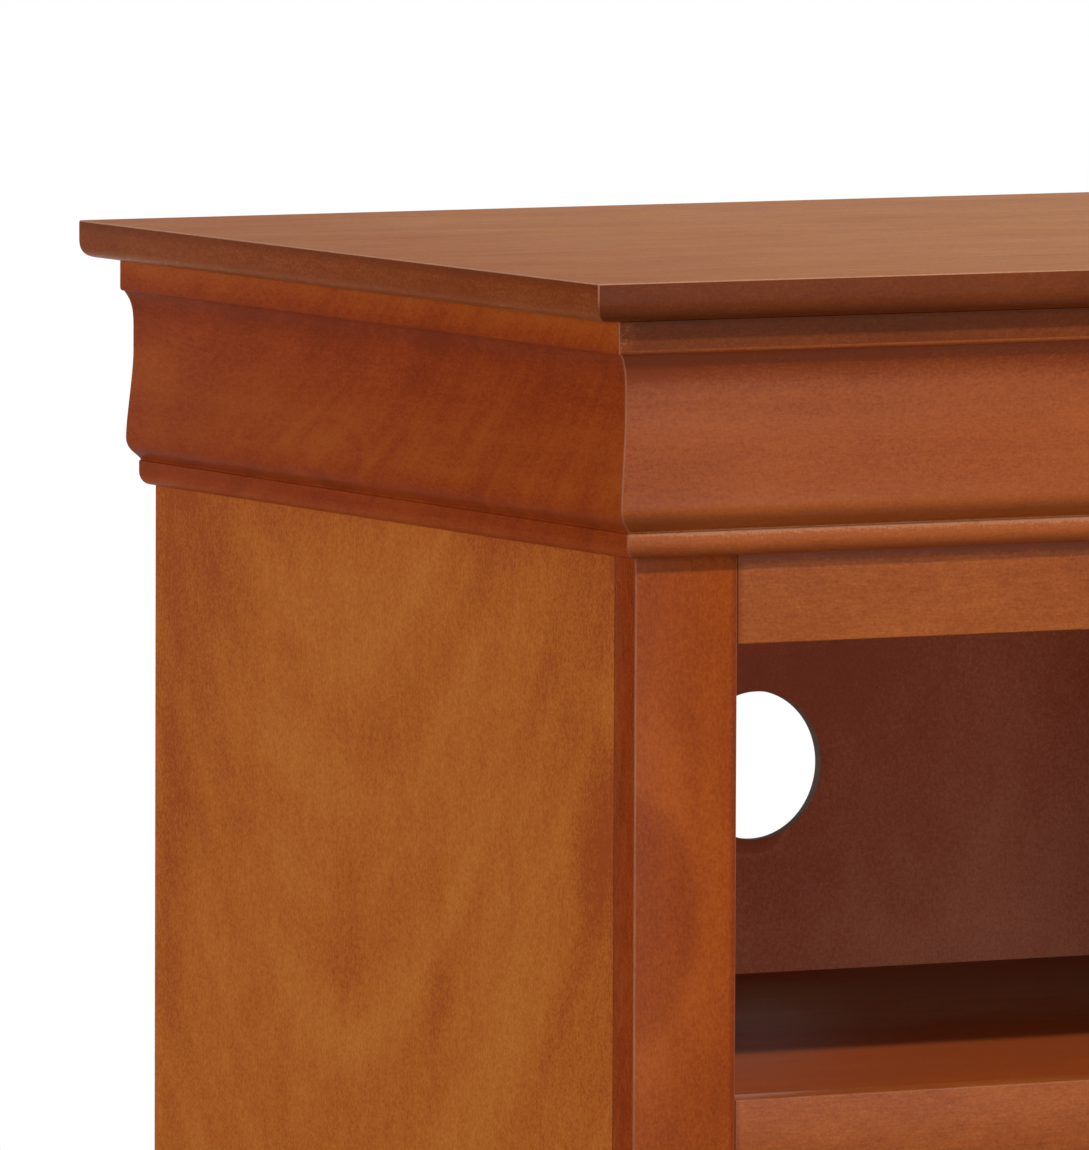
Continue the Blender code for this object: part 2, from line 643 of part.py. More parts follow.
def make_pull(name, centre, carrier, material):
    """A bail pull: a plate with two turned posts, bored for the pins, and the bail between them."""
    x, y, z = centre
    bm = bmesh.new()
    levels = ((0.0, GAP), (0.0, PLATE_THICKNESS - PLATE_DOME), (PLATE_DOME, PLATE_THICKNESS))
    loft(bm, [[(x + a, DRAWER_FRONT_Y - out, z + b) for a, b in plate_outline(shrink)]
              for shrink, out in levels])
    plate = add_mesh(f"{name}_plate", bm, material, carrier)
    posts = bmesh.new()
    for side in (-1, 1):
        post_x = x + side * PULL_POST_SPACING / 2
        loft(posts, [circle((post_x, DRAWER_FRONT_Y - out, z), radius, POST_SIDES, 1)
                     for radius, out in post_section()])
    combine(plate, add_cutter(f"{name}_posts", posts), "UNION")
    bore = bmesh.new()
    radius = BAIL_PIN_RADIUS + BAIL_PIN_CLEARANCE
    loft(bore, [circle((x + end * PULL_POST_SPACING, y, z), radius, 10, 0) for end in (-1, 1)])
    combine(plate, add_cutter(f"{name}_bore", bore), "DIFFERENCE")
    add_bail(f"{name}_bail", centre, carrier, material)


def main():
    """Build the chest."""
    clear_scene()
    solid = finish("Stained solid wood", (0.30, 0.075, 0.018), 0.35)
    veneer = finish("Stained veneer", (0.33, 0.10, 0.020), 0.38)
    dark = finish("Stained inside panel", (0.11, 0.024, 0.013), 0.50)
    raw = finish("Plain secondary wood", (0.45, 0.27, 0.13), 0.60)
    brass = finish("Aged brass", (0.40, 0.25, 0.09), 0.35, 1.0)
    make_top(veneer)
    make_frieze_and_cap(solid)
    make_sides(veneer, solid)
    make_rails(solid)
    make_bay(dark, solid, raw)
    make_back(dark)
    make_plinth(solid, raw)
    for number in range(1, DRAWERS + 1):
        make_runners(number, raw)
        make_drawer(number, solid, raw, raw, brass)


main()
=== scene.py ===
"""Media chest: its looks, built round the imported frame.

A cherry-stained chest with an open bay over three drawers. Everything is in metres, in the frame of
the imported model: X runs along the front, Y from the front to the back, Z up from the floor.
"""

import json
import logging
import math
from collections.abc import Callable, Sequence
from dataclasses import dataclass
from enum import Enum

import bmesh
import bpy
from mathutils import Matrix, Vector


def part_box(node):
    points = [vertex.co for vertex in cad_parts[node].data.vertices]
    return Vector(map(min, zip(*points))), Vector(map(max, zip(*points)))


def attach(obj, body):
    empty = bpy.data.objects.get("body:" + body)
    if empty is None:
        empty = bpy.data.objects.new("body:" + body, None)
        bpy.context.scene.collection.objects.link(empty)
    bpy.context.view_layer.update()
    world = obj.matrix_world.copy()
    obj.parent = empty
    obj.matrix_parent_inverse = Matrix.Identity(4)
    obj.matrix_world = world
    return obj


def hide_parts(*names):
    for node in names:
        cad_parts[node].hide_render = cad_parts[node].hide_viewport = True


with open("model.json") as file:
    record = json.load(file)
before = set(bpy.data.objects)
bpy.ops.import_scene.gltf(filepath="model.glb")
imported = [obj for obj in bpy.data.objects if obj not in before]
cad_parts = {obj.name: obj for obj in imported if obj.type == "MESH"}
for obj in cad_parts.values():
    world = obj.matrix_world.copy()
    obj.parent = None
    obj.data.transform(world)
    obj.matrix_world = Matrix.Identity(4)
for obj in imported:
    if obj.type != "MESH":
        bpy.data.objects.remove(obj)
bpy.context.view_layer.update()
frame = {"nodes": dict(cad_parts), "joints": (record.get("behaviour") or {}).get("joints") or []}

LOG = logging.getLogger("media_chest")

MM = 0.001
TOUCH = 0.01 * MM  # places nearer than this are the same
STAND_OFF = 0.3 * MM  # the gap left behind a piece that sits on another

Point = tuple[float, float]
Place = tuple[float, float, float]
Colour = tuple[float, float, float, float]
Piece = bpy.types.Object
Material = bpy.types.Material
Tree = bpy.types.NodeTree
Socket = bpy.types.NodeSocket
FaceTest = Callable[[bmesh.types.BMFace], bool]


class Grain(Enum):
    """The axis that a board's grain follows, as the turn that brings X along it."""

    ACROSS = (0, 0, 0)
    DEEP = (0, 0, -math.pi / 2)
    UPRIGHT = (0, math.pi / 2, 0)


class Run(Enum):
    """The faces of the case that a moulding runs along."""

    LEFT = "left"
    FRONT = "front"
    RIGHT = "right"


# Colours and node helpers


def linear(code: str) -> Colour:
    """Turn an sRGB hex colour linear.

    Args:
        code: Six hex digits.

    Returns:
        The linear colour, with full alpha.
    """
    shares = [int(code[at:at + 2], 16) / 255 for at in (0, 2, 4)]
    red, green, blue = (s / 12.92 if s <= 0.04045 else ((s + 0.055) / 1.055) ** 2.4 for s in shares)
    return red, green, blue, 1.0


def per_metre(size_mm: float) -> float:
    """Pattern repeats in a metre, for a feature of a size in millimetres."""
    return 1000 / size_mm


def add_node(tree: Tree, kind: str, links: dict | None = None, values: dict | None = None,
             stops: Sequence[tuple[float, Colour]] = (), **settings: object) -> bpy.types.Node:
    """Add one node with its settings and links.

    Args:
        tree: The node tree that it goes into.
        kind: The node's type name.
        links: Output sockets, by the input socket that each feeds.
        values: Constants, by input socket.
        stops: Places and colours of a colour ramp.
        **settings: Attributes of the node.

    Returns:
        The node.
    """
    made = tree.nodes.new(kind)
    for name, value in settings.items():
        setattr(made, name, value)
    for socket, value in (values or {}).items():
        made.inputs[socket].default_value = value
    for socket, source in (links or {}).items():
        tree.links.new(source, made.inputs[socket])
    if stops:
        ramp = made.color_ramp
        while len(ramp.elements) < len(stops):
            ramp.elements.new(1.0)
        for element, (place, colour) in zip(ramp.elements, stops):
            element.position = place
            element.color = colour
    return made


def new_material(name: str) -> tuple[Material, Tree, bpy.types.Node]:
    """Make a node material.

    Args:
        name: The material's name.

    Returns:
        The material, its tree, and its Principled shader.
    """
    material = bpy.data.materials.new(name)
    material.use_nodes = True
    return material, material.node_tree, material.node_tree.nodes["Principled BSDF"]


# What a wood shows: each draws a tone between 0, dark, and 1, pale, that swings about the middle

MIDDLE = 0.5
LINE_WANDER = 0.25
ARCH_LENGTH_MM = 180.0
KNOT_WANDER_MM = 30.0
KNOT_WANDER = 0.5
KNOT_RAMP = 0.4


@dataclass(frozen=True)
class Sheet:
    """What a feature is drawn on.

    The tree is the material's, place the object's own coordinates, along the same ones with X turned to
    the grain, and the seed says which part of the noise the board takes.
    """

    tree: Tree
    place: Socket
    along: Socket
    seed: int


@dataclass(frozen=True)
class Pattern:
    """One layer of a wood's figure: noise whose features have sizes in mm along and across the grain."""

    along_mm: float
    across_mm: float
    share: float
    detail: float = 1.0
    tilt: float = 0.0
    bend: float = 0.0

    def draw(self, tree: Tree, along: Socket, seed: float) -> Socket:
        """Draw the layer.

        Args:
            tree: The material's tree.
            along: Coordinates whose X follows the grain.
            seed: Which part of the noise it takes.

        Returns:
            The tone.
        """
        scaled = add_node(tree, "ShaderNodeMapping", {"Vector": along}, {
            "Location": (seed * 3.71, seed * 5.13, seed * 1.97), "Rotation": (0, self.tilt, self.tilt),
            "Scale": (per_metre(self.along_mm), per_metre(self.across_mm), per_metre(self.across_mm))})
        return add_node(tree, "ShaderNodeTexNoise", {"Vector": scaled.outputs[0]},
                        {"Scale": 1.0, "Detail": self.detail, "Distortion": self.bend}).outputs["Fac"]


def growth_lines(sheet: Sheet, climb: Socket, side: Socket, spacing_mm: float, length_mm: float) -> Socket:
    """Draw noise in lines of equal climb.

    Args:
        sheet: What it is drawn on.
        climb: How far each point has climbed.
        side: How far each point is to the side.
        spacing_mm: The lines' size over the climb.
        length_mm: The lines' size to the side.

    Returns:
        The tone.
    """
    line = add_node(sheet.tree, "ShaderNodeCombineXYZ", {"X": climb, "Y": side}).outputs[0]
    scaled = add_node(sheet.tree, "ShaderNodeMapping", {"Vector": line}, {
        "Location": (sheet.seed * 1.3, sheet.seed * 2.7, 0),
        "Scale": (per_metre(spacing_mm), per_metre(length_mm), 1.0)})
    return add_node(sheet.tree, "ShaderNodeTexNoise", {"Vector": scaled.outputs[0]},
                    {"Scale": 1.0, "Detail": 1.0, "Distortion": LINE_WANDER}).outputs["Fac"]


@dataclass(frozen=True)
class Ripple:
    """Curl in the grain: streaks that climb along a board, at a slope that changes on the way."""

    spacing_mm: float
    length_mm: float
    share: float
    slope: float
    curve: float

    def draw(self, sheet: Sheet) -> Socket:
        """Draw noise stretched along lines that climb with the board's length.

        Args:
            sheet: What it is drawn on.

        Returns:
            The tone.
        """
        axes = add_node(sheet.tree, "ShaderNodeSeparateXYZ", {0: sheet.along}).outputs
        slope = add_node(sheet.tree, "ShaderNodeMath", {0: axes["X"]}, {1: self.curve, 2: self.slope},
                         operation="MULTIPLY_ADD").outputs[0]
        climb = add_node(sheet.tree, "ShaderNodeMath", {0: axes["X"], 1: slope, 2: axes["Z"]},
                         operation="MULTIPLY_ADD").outputs[0]
        return growth_lines(sheet, climb, axes["X"], self.spacing_mm, self.length_mm)


@dataclass(frozen=True)
class Arch:
    """Nested arches of plain-sawn grain about a line along the board, at a place across it."""

    across: str
    centre: float
    opening: float
    blunt_mm: float
    spacing_mm: float
    share: float

    def draw(self, sheet: Sheet) -> Socket:
        """Draw lines of growth that bend round the arches' centre line.

        Args:
            sheet: What they are drawn on.

        Returns:
            The tone.
        """
        axes = add_node(sheet.tree, "ShaderNodeSeparateXYZ", {0: sheet.along}).outputs
        off = add_node(sheet.tree, "ShaderNodeMath", {0: axes[self.across]}, {1: self.centre},
                       operation="SUBTRACT").outputs[0]
        square = add_node(sheet.tree, "ShaderNodeMath", {0: off, 1: off}, {2: (self.blunt_mm * MM) ** 2},
                          operation="MULTIPLY_ADD").outputs[0]
        reach = add_node(sheet.tree, "ShaderNodeMath", {0: square}, operation="SQRT").outputs[0]
        climb = add_node(sheet.tree, "ShaderNodeMath", {0: reach, 2: axes["X"]}, {1: self.opening},
                         operation="MULTIPLY_ADD").outputs[0]
        return growth_lines(sheet, climb, off, self.spacing_mm, ARCH_LENGTH_MM)


@dataclass(frozen=True)
class Knot:
    """An oval mark in an upright face: tones by reach from its heart, and plain wood beyond."""

    centre: Point
    radii: Point
    share: float
    axis: str
    rings: tuple[Point, ...]

    def draw(self, sheet: Sheet) -> Socket:
        """Draw the rings, with an uneven edge.

        Args:
            sheet: What they are drawn on.

        Returns:
            The tone.
        """
        wander = add_node(sheet.tree, "ShaderNodeTexNoise", {"Vector": sheet.place},
                          {"Scale": per_metre(KNOT_WANDER_MM), "Detail": 2.0}).outputs["Fac"]
        (middle, z), (wide, high) = self.centre, self.radii
        x, y = (1, 0) if self.axis == "X" else (0, 1)
        scaled = add_node(sheet.tree, "ShaderNodeMapping", {"Vector": sheet.place}, {
            "Location": (-x * middle / wide, -y * middle / wide, -z / high),
            "Scale": (x / wide, y / wide, 1 / high)}).outputs[0]
        reach = add_node(sheet.tree, "ShaderNodeVectorMath", {0: scaled}, operation="LENGTH").outputs["Value"]
        uneven = add_node(sheet.tree, "ShaderNodeMath", {0: wander, 2: reach}, {1: KNOT_WANDER},
                          operation="MULTIPLY_ADD").outputs[0]
        share = add_node(sheet.tree, "ShaderNodeMath", {0: uneven}, {1: KNOT_RAMP}, operation="MULTIPLY")
        stops = [(at, (level, level, level, 1.0)) for at, level in self.rings]
        return add_node(sheet.tree, "ShaderNodeValToRGB", {"Fac": share.outputs[0]},
                        stops=stops).outputs["Color"]


@dataclass(frozen=True)
class Shade:
    """Tone that shifts at places along an axis, for heavier or lighter stain and for painted light and shade:
    (metres, shift of the tone).
    """

    axis: str
    stops: tuple[Point, ...]
    share: float = 1.0

    def draw(self, sheet: Sheet) -> Socket:
        """Draw half of each shift, by place along the axis.

        Args:
            sheet: What it is drawn on.

        Returns:
            The tone.
        """
        reach = add_node(sheet.tree, "ShaderNodeSeparateXYZ", {0: sheet.place}).outputs[self.axis]
        low, high = self.stops[0][0], self.stops[-1][0]
        share = add_node(sheet.tree, "ShaderNodeMapRange", {"Value": reach},
                         {"From Min": low, "From Max": high}).outputs["Result"]
        stops = [((at - low) / (high - low), (MIDDLE + shift / 2,) * 3 + (1.0,)) for at, shift in self.stops]
        return add_node(sheet.tree, "ShaderNodeValToRGB", {"Fac": share}, stops=stops).outputs["Color"]


Feature = Ripple | Arch | Knot | Shade

# (reach, tone) from a mark's heart out
SOFT_PALE = ((0.0, 0.90), (0.25, 0.84), (0.58, 0.5), (1.0, 0.5))
SOFT_DARK = ((0.0, 0.10), (0.25, 0.16), (0.58, 0.5), (1.0, 0.5))
DARK_HEART = ((0.0, 0.10), (0.46, 0.05), (0.56, 0.25), (0.64, 0.95), (0.78, 0.85), (1.0, 0.5))
PALE_RING = ((0.0, 0.6), (0.3, 0.85), (0.42, 0.35), (0.52, 0.8), (0.62, 0.5), (1.0, 0.5))
PALE_PATCH = ((0.0, 0.85), (0.4, 0.80), (0.62, 0.5), (1.0, 0.5))
# The painted patch of light at the left end of the front fillet
LIGHT_PATCH_RINGS = ((0.0, 0.95), (0.40, 0.90), (0.62, 0.5), (1.0, 0.5))
CHIPPED = ((0.0, 0.0), (0.30, 0.05), (0.44, 0.35), (0.49, 0.75), (0.55, 0.60), (0.60, 0.5), (1.0, 0.5))

# The finest layers are drawn coarser than the real pores, so that they show
FIBRE = Pattern(6.0, 0.9, 0.13)
FLECK = Pattern(2.2, 0.8, 0.15)
DUST = Pattern(1.1, 1.0, 0.22)
MOTTLE = Pattern(5.0, 3.4, 0.07)
BLOTCH = Pattern(22.0, 13.0, 0.08)
STREAK = Pattern(45.0, 3.6, 0.06)
FIGURE = Pattern(120.0, 16.0, 0.08, tilt=0.05, bend=0.4)
CLOUD = Pattern(80.0, 42.0, 0.14, bend=0.3)
WEAR = Pattern(60.0, 12.0, 1.0, detail=3.0)
SPECKLE = Pattern(2.6, 1.0, 1.0, detail=2.0)


# Finishes


@dataclass(frozen=True)
class StainedWood:
    """Poplar or birch under a cherry stain and satin lacquer.

    Short fine fibres and flecks lie on soft clouds, because the stain takes unevenly: heavy places are
    redder and darker, light ones more yellow.
    """

    name: str
    dark: str
    mid: str
    pale: str
    # The palest stop: rubbed wood, and the colour of painted highlights and reflections
    wear_and_highlight: str = "b07450"
    patterns: tuple[Pattern, ...] = (CLOUD, FIGURE, BLOTCH, STREAK, MOTTLE, FIBRE, FLECK, DUST)
    specks: float = 0.0
    roughness: float = 0.34
    shine: float = 0.15
    grit: float = 0.25
    tones: tuple[float, ...] = (0.2, 0.5, 0.8, 1.0)
    seed_step: float = 0.37
    roughness_swing: float = 0.06
    pore_depth: float = 0.05 * MM

    def make(self, grain: Grain, seed: int, *features: Feature) -> Material:
        """Build the material of one board.

        Args:
            grain: The axis that the board's grain follows.
            seed: Which part of the pattern the board takes.
            *features: What this board alone shows.

        Returns:
            The material.
        """
        material, tree, shader = new_material(f"{self.name} {grain.name.lower()} {seed}")
        place = add_node(tree, "ShaderNodeTexCoord").outputs["Object"]
        along = add_node(tree, "ShaderNodeMapping", {"Vector": place}, {"Rotation": grain.value}).outputs[0]
        tone = add_node(tree, "ShaderNodeMath", values={0: MIDDLE, 1: 0.0}, operation="ADD").outputs[0]
        for index, pattern in enumerate(self.patterns):
            noise = pattern.draw(tree, along, seed + self.seed_step * index)
            tone = self.shift(tree, tone, noise, pattern.share)
        sheet = Sheet(tree, place, along, seed)
        for feature in features:
            tone = self.shift(tree, tone, feature.draw(sheet), feature.share)
        codes = (self.dark, self.mid, self.pale, self.wear_and_highlight)
        colour = add_node(tree, "ShaderNodeValToRGB", {"Fac": tone},
                          stops=[(at, linear(code)) for at, code in zip(self.tones, codes)]).outputs["Color"]
        if self.specks:
            colour = self.add_specks(tree, SPECKLE.draw(tree, along, seed), colour)
        tree.links.new(colour, shader.inputs["Base Color"])
        rough = add_node(tree, "ShaderNodeMapRange", {"Value": WEAR.draw(tree, along, seed)},
                         {"To Min": self.roughness - self.roughness_swing,
                          "To Max": self.roughness + self.roughness_swing})
        tree.links.new(rough.outputs["Result"], shader.inputs["Roughness"])
        bump = add_node(tree, "ShaderNodeBump", {"Height": FIBRE.draw(tree, along, seed)},
                        {"Strength": self.grit, "Distance": self.pore_depth})
        tree.links.new(bump.outputs["Normal"], shader.inputs["Normal"])
        shader.inputs["Specular IOR Level"].default_value = self.shine
        return material

    @staticmethod
    def shift(tree: Tree, tone: Socket, source: Socket, share: float) -> Socket:
        """Add a pattern's swing about the middle to a tone."""
        swing = add_node(tree, "ShaderNodeMath", {0: source}, {1: MIDDLE}, operation="SUBTRACT").outputs[0]
        return add_node(tree, "ShaderNodeMath", {0: swing, 2: tone}, {1: 2 * share},
                        operation="MULTIPLY_ADD").outputs[0]

    def add_specks(self, tree: Tree, noise: Socket, colour: Socket) -> Socket:
        """Scatter dark and tan specks over a colour.

        Args:
            tree: The material's tree.
            noise: A fine pattern.
            colour: The colour to lay them on.

        Returns:
            The colour with specks.
        """
        for low, high, code in ((0.30, 0.24, "3a1a10"), (0.72, 0.79, "c87840")):
            share = add_node(tree, "ShaderNodeMapRange", {"Value": noise},
                             {"From Min": low, "From Max": high, "To Max": self.specks}).outputs["Result"]
            colour = add_node(tree, "ShaderNodeMix", {0: share, 6: colour}, {7: linear(code)},
                              data_type="RGBA").outputs[2]
        return colour


@dataclass(frozen=True)
class AgedBrass:
    """Cast brass, rubbed bright in some patches and brown in others."""

    name: str = "Aged brass"
    bright: str = "b08c50"
    brown: str = "7a5c32"
    stain_mm: float = 9.0
    cast_mm: float = 0.8
    stain_reach: Point = (0.35, 0.62)
    dull_to_rubbed: Point = (0.52, 0.22)
    cast_depth: float = 0.05 * MM

    def make(self) -> Material:
        """Build the metal.

        Returns:
            The material.
        """
        material, tree, shader = new_material(self.name)
        place = add_node(tree, "ShaderNodeTexCoord").outputs["Object"]
        stain = add_node(tree, "ShaderNodeTexNoise", {"Vector": place},
                         {"Scale": per_metre(self.stain_mm), "Detail": 4.0}).outputs["Fac"]
        stops = list(zip(self.stain_reach, (linear(self.brown), linear(self.bright))))
        colour = add_node(tree, "ShaderNodeValToRGB", {"Fac": stain}, stops=stops).outputs["Color"]
        tree.links.new(colour, shader.inputs["Base Color"])
        rough = add_node(tree, "ShaderNodeMapRange", {"Value": stain},
                         {"To Min": self.dull_to_rubbed[0], "To Max": self.dull_to_rubbed[1]})
        tree.links.new(rough.outputs["Result"], shader.inputs["Roughness"])
        cast = add_node(tree, "ShaderNodeTexNoise", {"Vector": place},
                        {"Scale": per_metre(self.cast_mm), "Detail": 2.0}).outputs["Fac"]
        bump = add_node(tree, "ShaderNodeBump", {"Height": cast},
                        {"Strength": 0.15, "Distance": self.cast_depth})
        tree.links.new(bump.outputs["Normal"], shader.inputs["Normal"])
        shader.inputs["Metallic"].default_value = 1.0
        return material


# Front wood: even, reddish brown, with soft clouds
SOLID = StainedWood("Cherry-stained solid wood", "7e3710", "984b1b", "ae5e28", patterns=(
    CLOUD, FIGURE, BLOTCH, Pattern(14.0, 1.6, 0.10), MOTTLE, FIBRE, FLECK, DUST))
STILE = StainedWood("Cherry-stained solid wood of the stiles", "7c310e", "924110", "a7521a", shine=0.08,
                    patterns=(CLOUD, BLOTCH, Pattern(70.0, 9.0, 0.10, tilt=0.12, bend=0.5), MOTTLE,
                              Pattern(5.0, 1.1, 0.08), FLECK, DUST))
FRIEZE = StainedWood("Cherry-stained solid wood of the frieze", "7c3310", "934617", "a65420",
                     patterns=(CLOUD, Pattern(60.0, 14.0, 0.05), STREAK, FIBRE, FLECK, DUST))
# Stain that gathered in a line, or that hands and cloths rubbed off, with a painted shadow on the fillet and
# painted highlights on the arrises
# The front fillet: darker stain under a painted shadow of the top's overhang; its greyest stop makes a
# painted patch of light at its left end
STAINED_SHADOWED_FILLET = StainedWood("Dark-stained fillet", "602a12", "6d3316", "823e1a", "9a6e54", shine=0.055)
JOINT = StainedWood("Stain gathered in a joint", "82442a", "8e4c2e", "9a5434", shine=0.05)
# Arrises: rubbed paler, and lit by a painted highlight where the lamps catch them
RUBBED_LIT_ARRIS = StainedWood("Rubbed stained arris", "84452a", "9c5a3c", "ac6a4a", shine=0.08)
# The top's upper arris: a painted highlight where the key light catches its rounding
TOP_ARRIS_HIGHLIGHT = StainedWood("Rubbed arris of the top", "a06a4a", "b27c5e", "c08a6c", shine=0.05)
EDGE_FRONT = StainedWood("Dark-stained front edge of the top", "622a0e", "713412", "803c17", shine=0.08)
# The side edges of the top: the painted reflection on their lower rounding takes the palest, greyest colours
EDGE_SIDE = StainedWood("Dark-stained side edge of the top", "783612", "8b4118", "9d562c", "b08464",
                        shine=0.02)
# Side wood: duller and redder than the front
SIDE_SOLID = StainedWood("Cherry-stained solid wood of the sides", "80300d", "983d13", "aa5019", "a55a28",
                         shine=0.012)
STILE_SIDE = StainedWood("Cherry-stained side of the stiles", "762b0b", "983d13", "a8541c", shine=0.012,
                         patterns=(CLOUD, Pattern(34.0, 9.0, 0.16, tilt=0.2, bend=0.4),
                                   Pattern(12.0, 5.0, 0.12), Pattern(5.0, 1.2, 0.14), FLECK, DUST))
# Veneers: paler and yellower than the solid wood, with a figure that shows
TOP_VENEER = StainedWood("Stained veneer of the top", "964f19", "a56430", "b8763e", "c48450", shine=0.03,
                         roughness=0.5, patterns=(
                             CLOUD, Pattern(90.0, 6.0, 0.09, tilt=0.02, bend=0.3), BLOTCH,
                             Pattern(14.0, 1.8, 0.12), Pattern(5.0, 2.4, 0.13), Pattern(2.2, 1.6, 0.14),
                             DUST))
SIDE_VENEER = StainedWood("Stained side veneer", "a44a14", "bf6821", "ce7c32", "d68a48", shine=0.012,
                          patterns=(Pattern(90.0, 70.0, 0.10, bend=0.4), Pattern(26.0, 6.0, 0.06), BLOTCH,
                                    MOTTLE, Pattern(8.0, 1.1, 0.09), FLECK, Pattern(1.1, 1.3, 0.30)))
# Insides: printed or thinly stained sheets, flat and speckled
INSIDE = StainedWood("Stained inside panel", "a04a30", "b4583a", "cc7a5c", "d28a70", specks=0.35, shine=0.12,
                     roughness=0.5, patterns=(CLOUD, BLOTCH, Pattern(2.2, 1.8, 0.13), DUST))
BACK_FACE = StainedWood("Sealed back of the back panel", "5e3826", "6f4630", "7f563c", specks=0.3, shine=0.1,
                        roughness=0.6, patterns=(CLOUD, MOTTLE, FLECK))
# The bay floor: its greyer dark stop colours the painted shade at the back of the bay
FLOOR_STAIN = StainedWood("Stained bay floor", "945e3e", "8a3c16", "a24c1e", specks=0.25, shine=0.05,
                          roughness=0.55, patterns=(CLOUD, BLOTCH, FLECK, DUST))
RAW_EDGE = StainedWood("Raw fibreboard edge", "5c4638", "76604e", "9c8874", "b4a28e", roughness=0.8,
                       shine=0.1, patterns=(MOTTLE, FLECK))
PLAIN = StainedWood("Sealed plain birch", "b98c5e", "cda273", "dab48a", "e0bc94", roughness=0.5, shine=0.25)


# Modelling helpers


def deselect() -> None:
    """Leave edit mode and let go of every object."""
    if bpy.context.object is not None and bpy.context.object.mode != "OBJECT":
        bpy.ops.object.mode_set(mode="OBJECT")
    bpy.ops.object.select_all(action="DESELECT")


def take(*pieces: Piece) -> None:
    """Select pieces alone.

    Args:
        *pieces: The pieces, of which the first becomes active.
    """
    deselect()
    for piece in pieces:
        piece.select_set(True)
    bpy.context.view_layer.objects.active = pieces[0]


def edit(piece: Piece) -> None:
    """Open one piece in edit mode with all of it selected.

    Args:
        piece: The piece.
    """
    take(piece)
    bpy.ops.object.mode_set(mode="EDIT")
    bpy.ops.mesh.select_all(action="SELECT")


def pick(kind: str, test: Callable[[bmesh.types.BMVert | bmesh.types.BMEdge], bool]) -> None:
    """Select what passes a test on the mesh in edit mode, and nothing else.

    Args:
        kind: "VERT" or "EDGE".
        test: Says whether a vertex or edge is wanted.
    """
    bpy.ops.mesh.select_mode(type=kind)
    bpy.ops.mesh.select_all(action="DESELECT")
    bm = bmesh.from_edit_mesh(bpy.context.object.data)
    for part in {"VERT": bm.verts, "EDGE": bm.edges}[kind]:
        if test(part):
            part.select_set(True)
    bm.select_flush_mode()
    bmesh.update_edit_mesh(bpy.context.object.data)


def pick_edges_at(y: float) -> None:
    """Select the edges that lie in the upright plane at one Y, and nothing else."""
    pick("EDGE", lambda e: all(abs(v.co.y - y) < TOUCH for v in e.verts))


def spare_slots(piece: Piece, count: int) -> None:
    """Give a piece a number of material slots, to be filled when it is dressed."""
    while len(piece.data.materials) < count:
        piece.data.materials.append(None)


def give_slot(slot: int, test: FaceTest) -> None:
    """Give faces of the mesh in edit mode a material slot.

    Args:
        slot: The slot's number.
        test: Says whether a face gets it.
    """
    spare_slots(bpy.context.object, slot + 1)
    bm = bmesh.from_edit_mesh(bpy.context.object.data)
    bm.normal_update()
    for face in bm.faces:
        if test(face):
            face.material_index = slot
    bmesh.update_edit_mesh(bpy.context.object.data)


def close(piece: Piece, smooth_degrees: float = 30.0) -> Piece:
    """Finish a mesh: faces out, place in its mesh, and shading smooth up to an angle.

    Args:
        piece: The piece.
        smooth_degrees: The sharpest bend that shades smooth.

    Returns:
        The piece.
    """
    edit(piece)
    bpy.ops.mesh.remove_doubles(threshold=0.002 * MM)
    faces_out()
    bpy.ops.object.mode_set(mode="OBJECT")
    bpy.ops.object.transform_apply(location=True, rotation=True, scale=True)
    bpy.ops.object.shade_smooth_by_angle(angle=math.radians(smooth_degrees))
    return piece


def faces_out() -> None:
    """Point every face of the mesh in edit mode outwards."""
    bpy.ops.mesh.select_all(action="SELECT")
    bpy.ops.mesh.normals_make_consistent(inside=False)


def trace(name: str, points: Sequence[Place]) -> Piece:
    """Draw a closed outline point by point, and fill it with one face.

    Args:
        name: The piece's name.
        points: Places round the outline, in order.

    Returns:
        The flat piece, left in edit mode with all of it selected.
    """
    deselect()
    bpy.ops.mesh.primitive_plane_add(size=2 * MM, location=(0, 0, 0))
    piece = bpy.context.object
    piece.name = piece.data.name = name
    edit(piece)
    bpy.ops.mesh.select_mode(type="VERT")
    bpy.ops.mesh.select_all(action="SELECT")
    bpy.ops.mesh.merge(type="CENTER")
    bpy.ops.transform.translate(value=points[0])
    for before, after in zip(points, points[1:]):
        step = Vector(after) - Vector(before)
        bpy.ops.mesh.extrude_vertices_move(TRANSFORM_OT_translate={"value": step})
    bpy.ops.mesh.select_all(action="SELECT")
    bpy.ops.mesh.edge_face_add()
    return piece


def push(step: Place) -> None:
    """Extrude what is selected by a step."""
    bpy.ops.mesh.extrude_region_move(TRANSFORM_OT_translate={"value": step})


def cut(point: Place, normal: Place) -> None:
    """Cut the mesh in edit mode by a plane, drop what the normal points at, and select the cut."""
    bpy.ops.mesh.select_all(action="SELECT")
    bpy.ops.mesh.bisect(plane_co=point, plane_no=normal, use_fill=True, clear_outer=True, threshold=1e-6)


def block(name: str, low: Place, high: Place) -> Piece:
    """Start a board as a block between two corners.

    Args:
        name: The piece's name.
        low: Its lowest corner.
        high: Its highest corner.

    Returns:
        The piece, left in edit mode with all of it selected.
    """
    deselect()
    middle = (Vector(low) + Vector(high)) / 2
    bpy.ops.mesh.primitive_cube_add(size=1, location=middle)
    piece = bpy.context.object
    piece.name = piece.data.name = name
    bpy.ops.transform.resize(value=Vector(high) - Vector(low))
    bpy.ops.object.transform_apply(location=True, rotation=True, scale=True)
    edit(piece)
    return piece


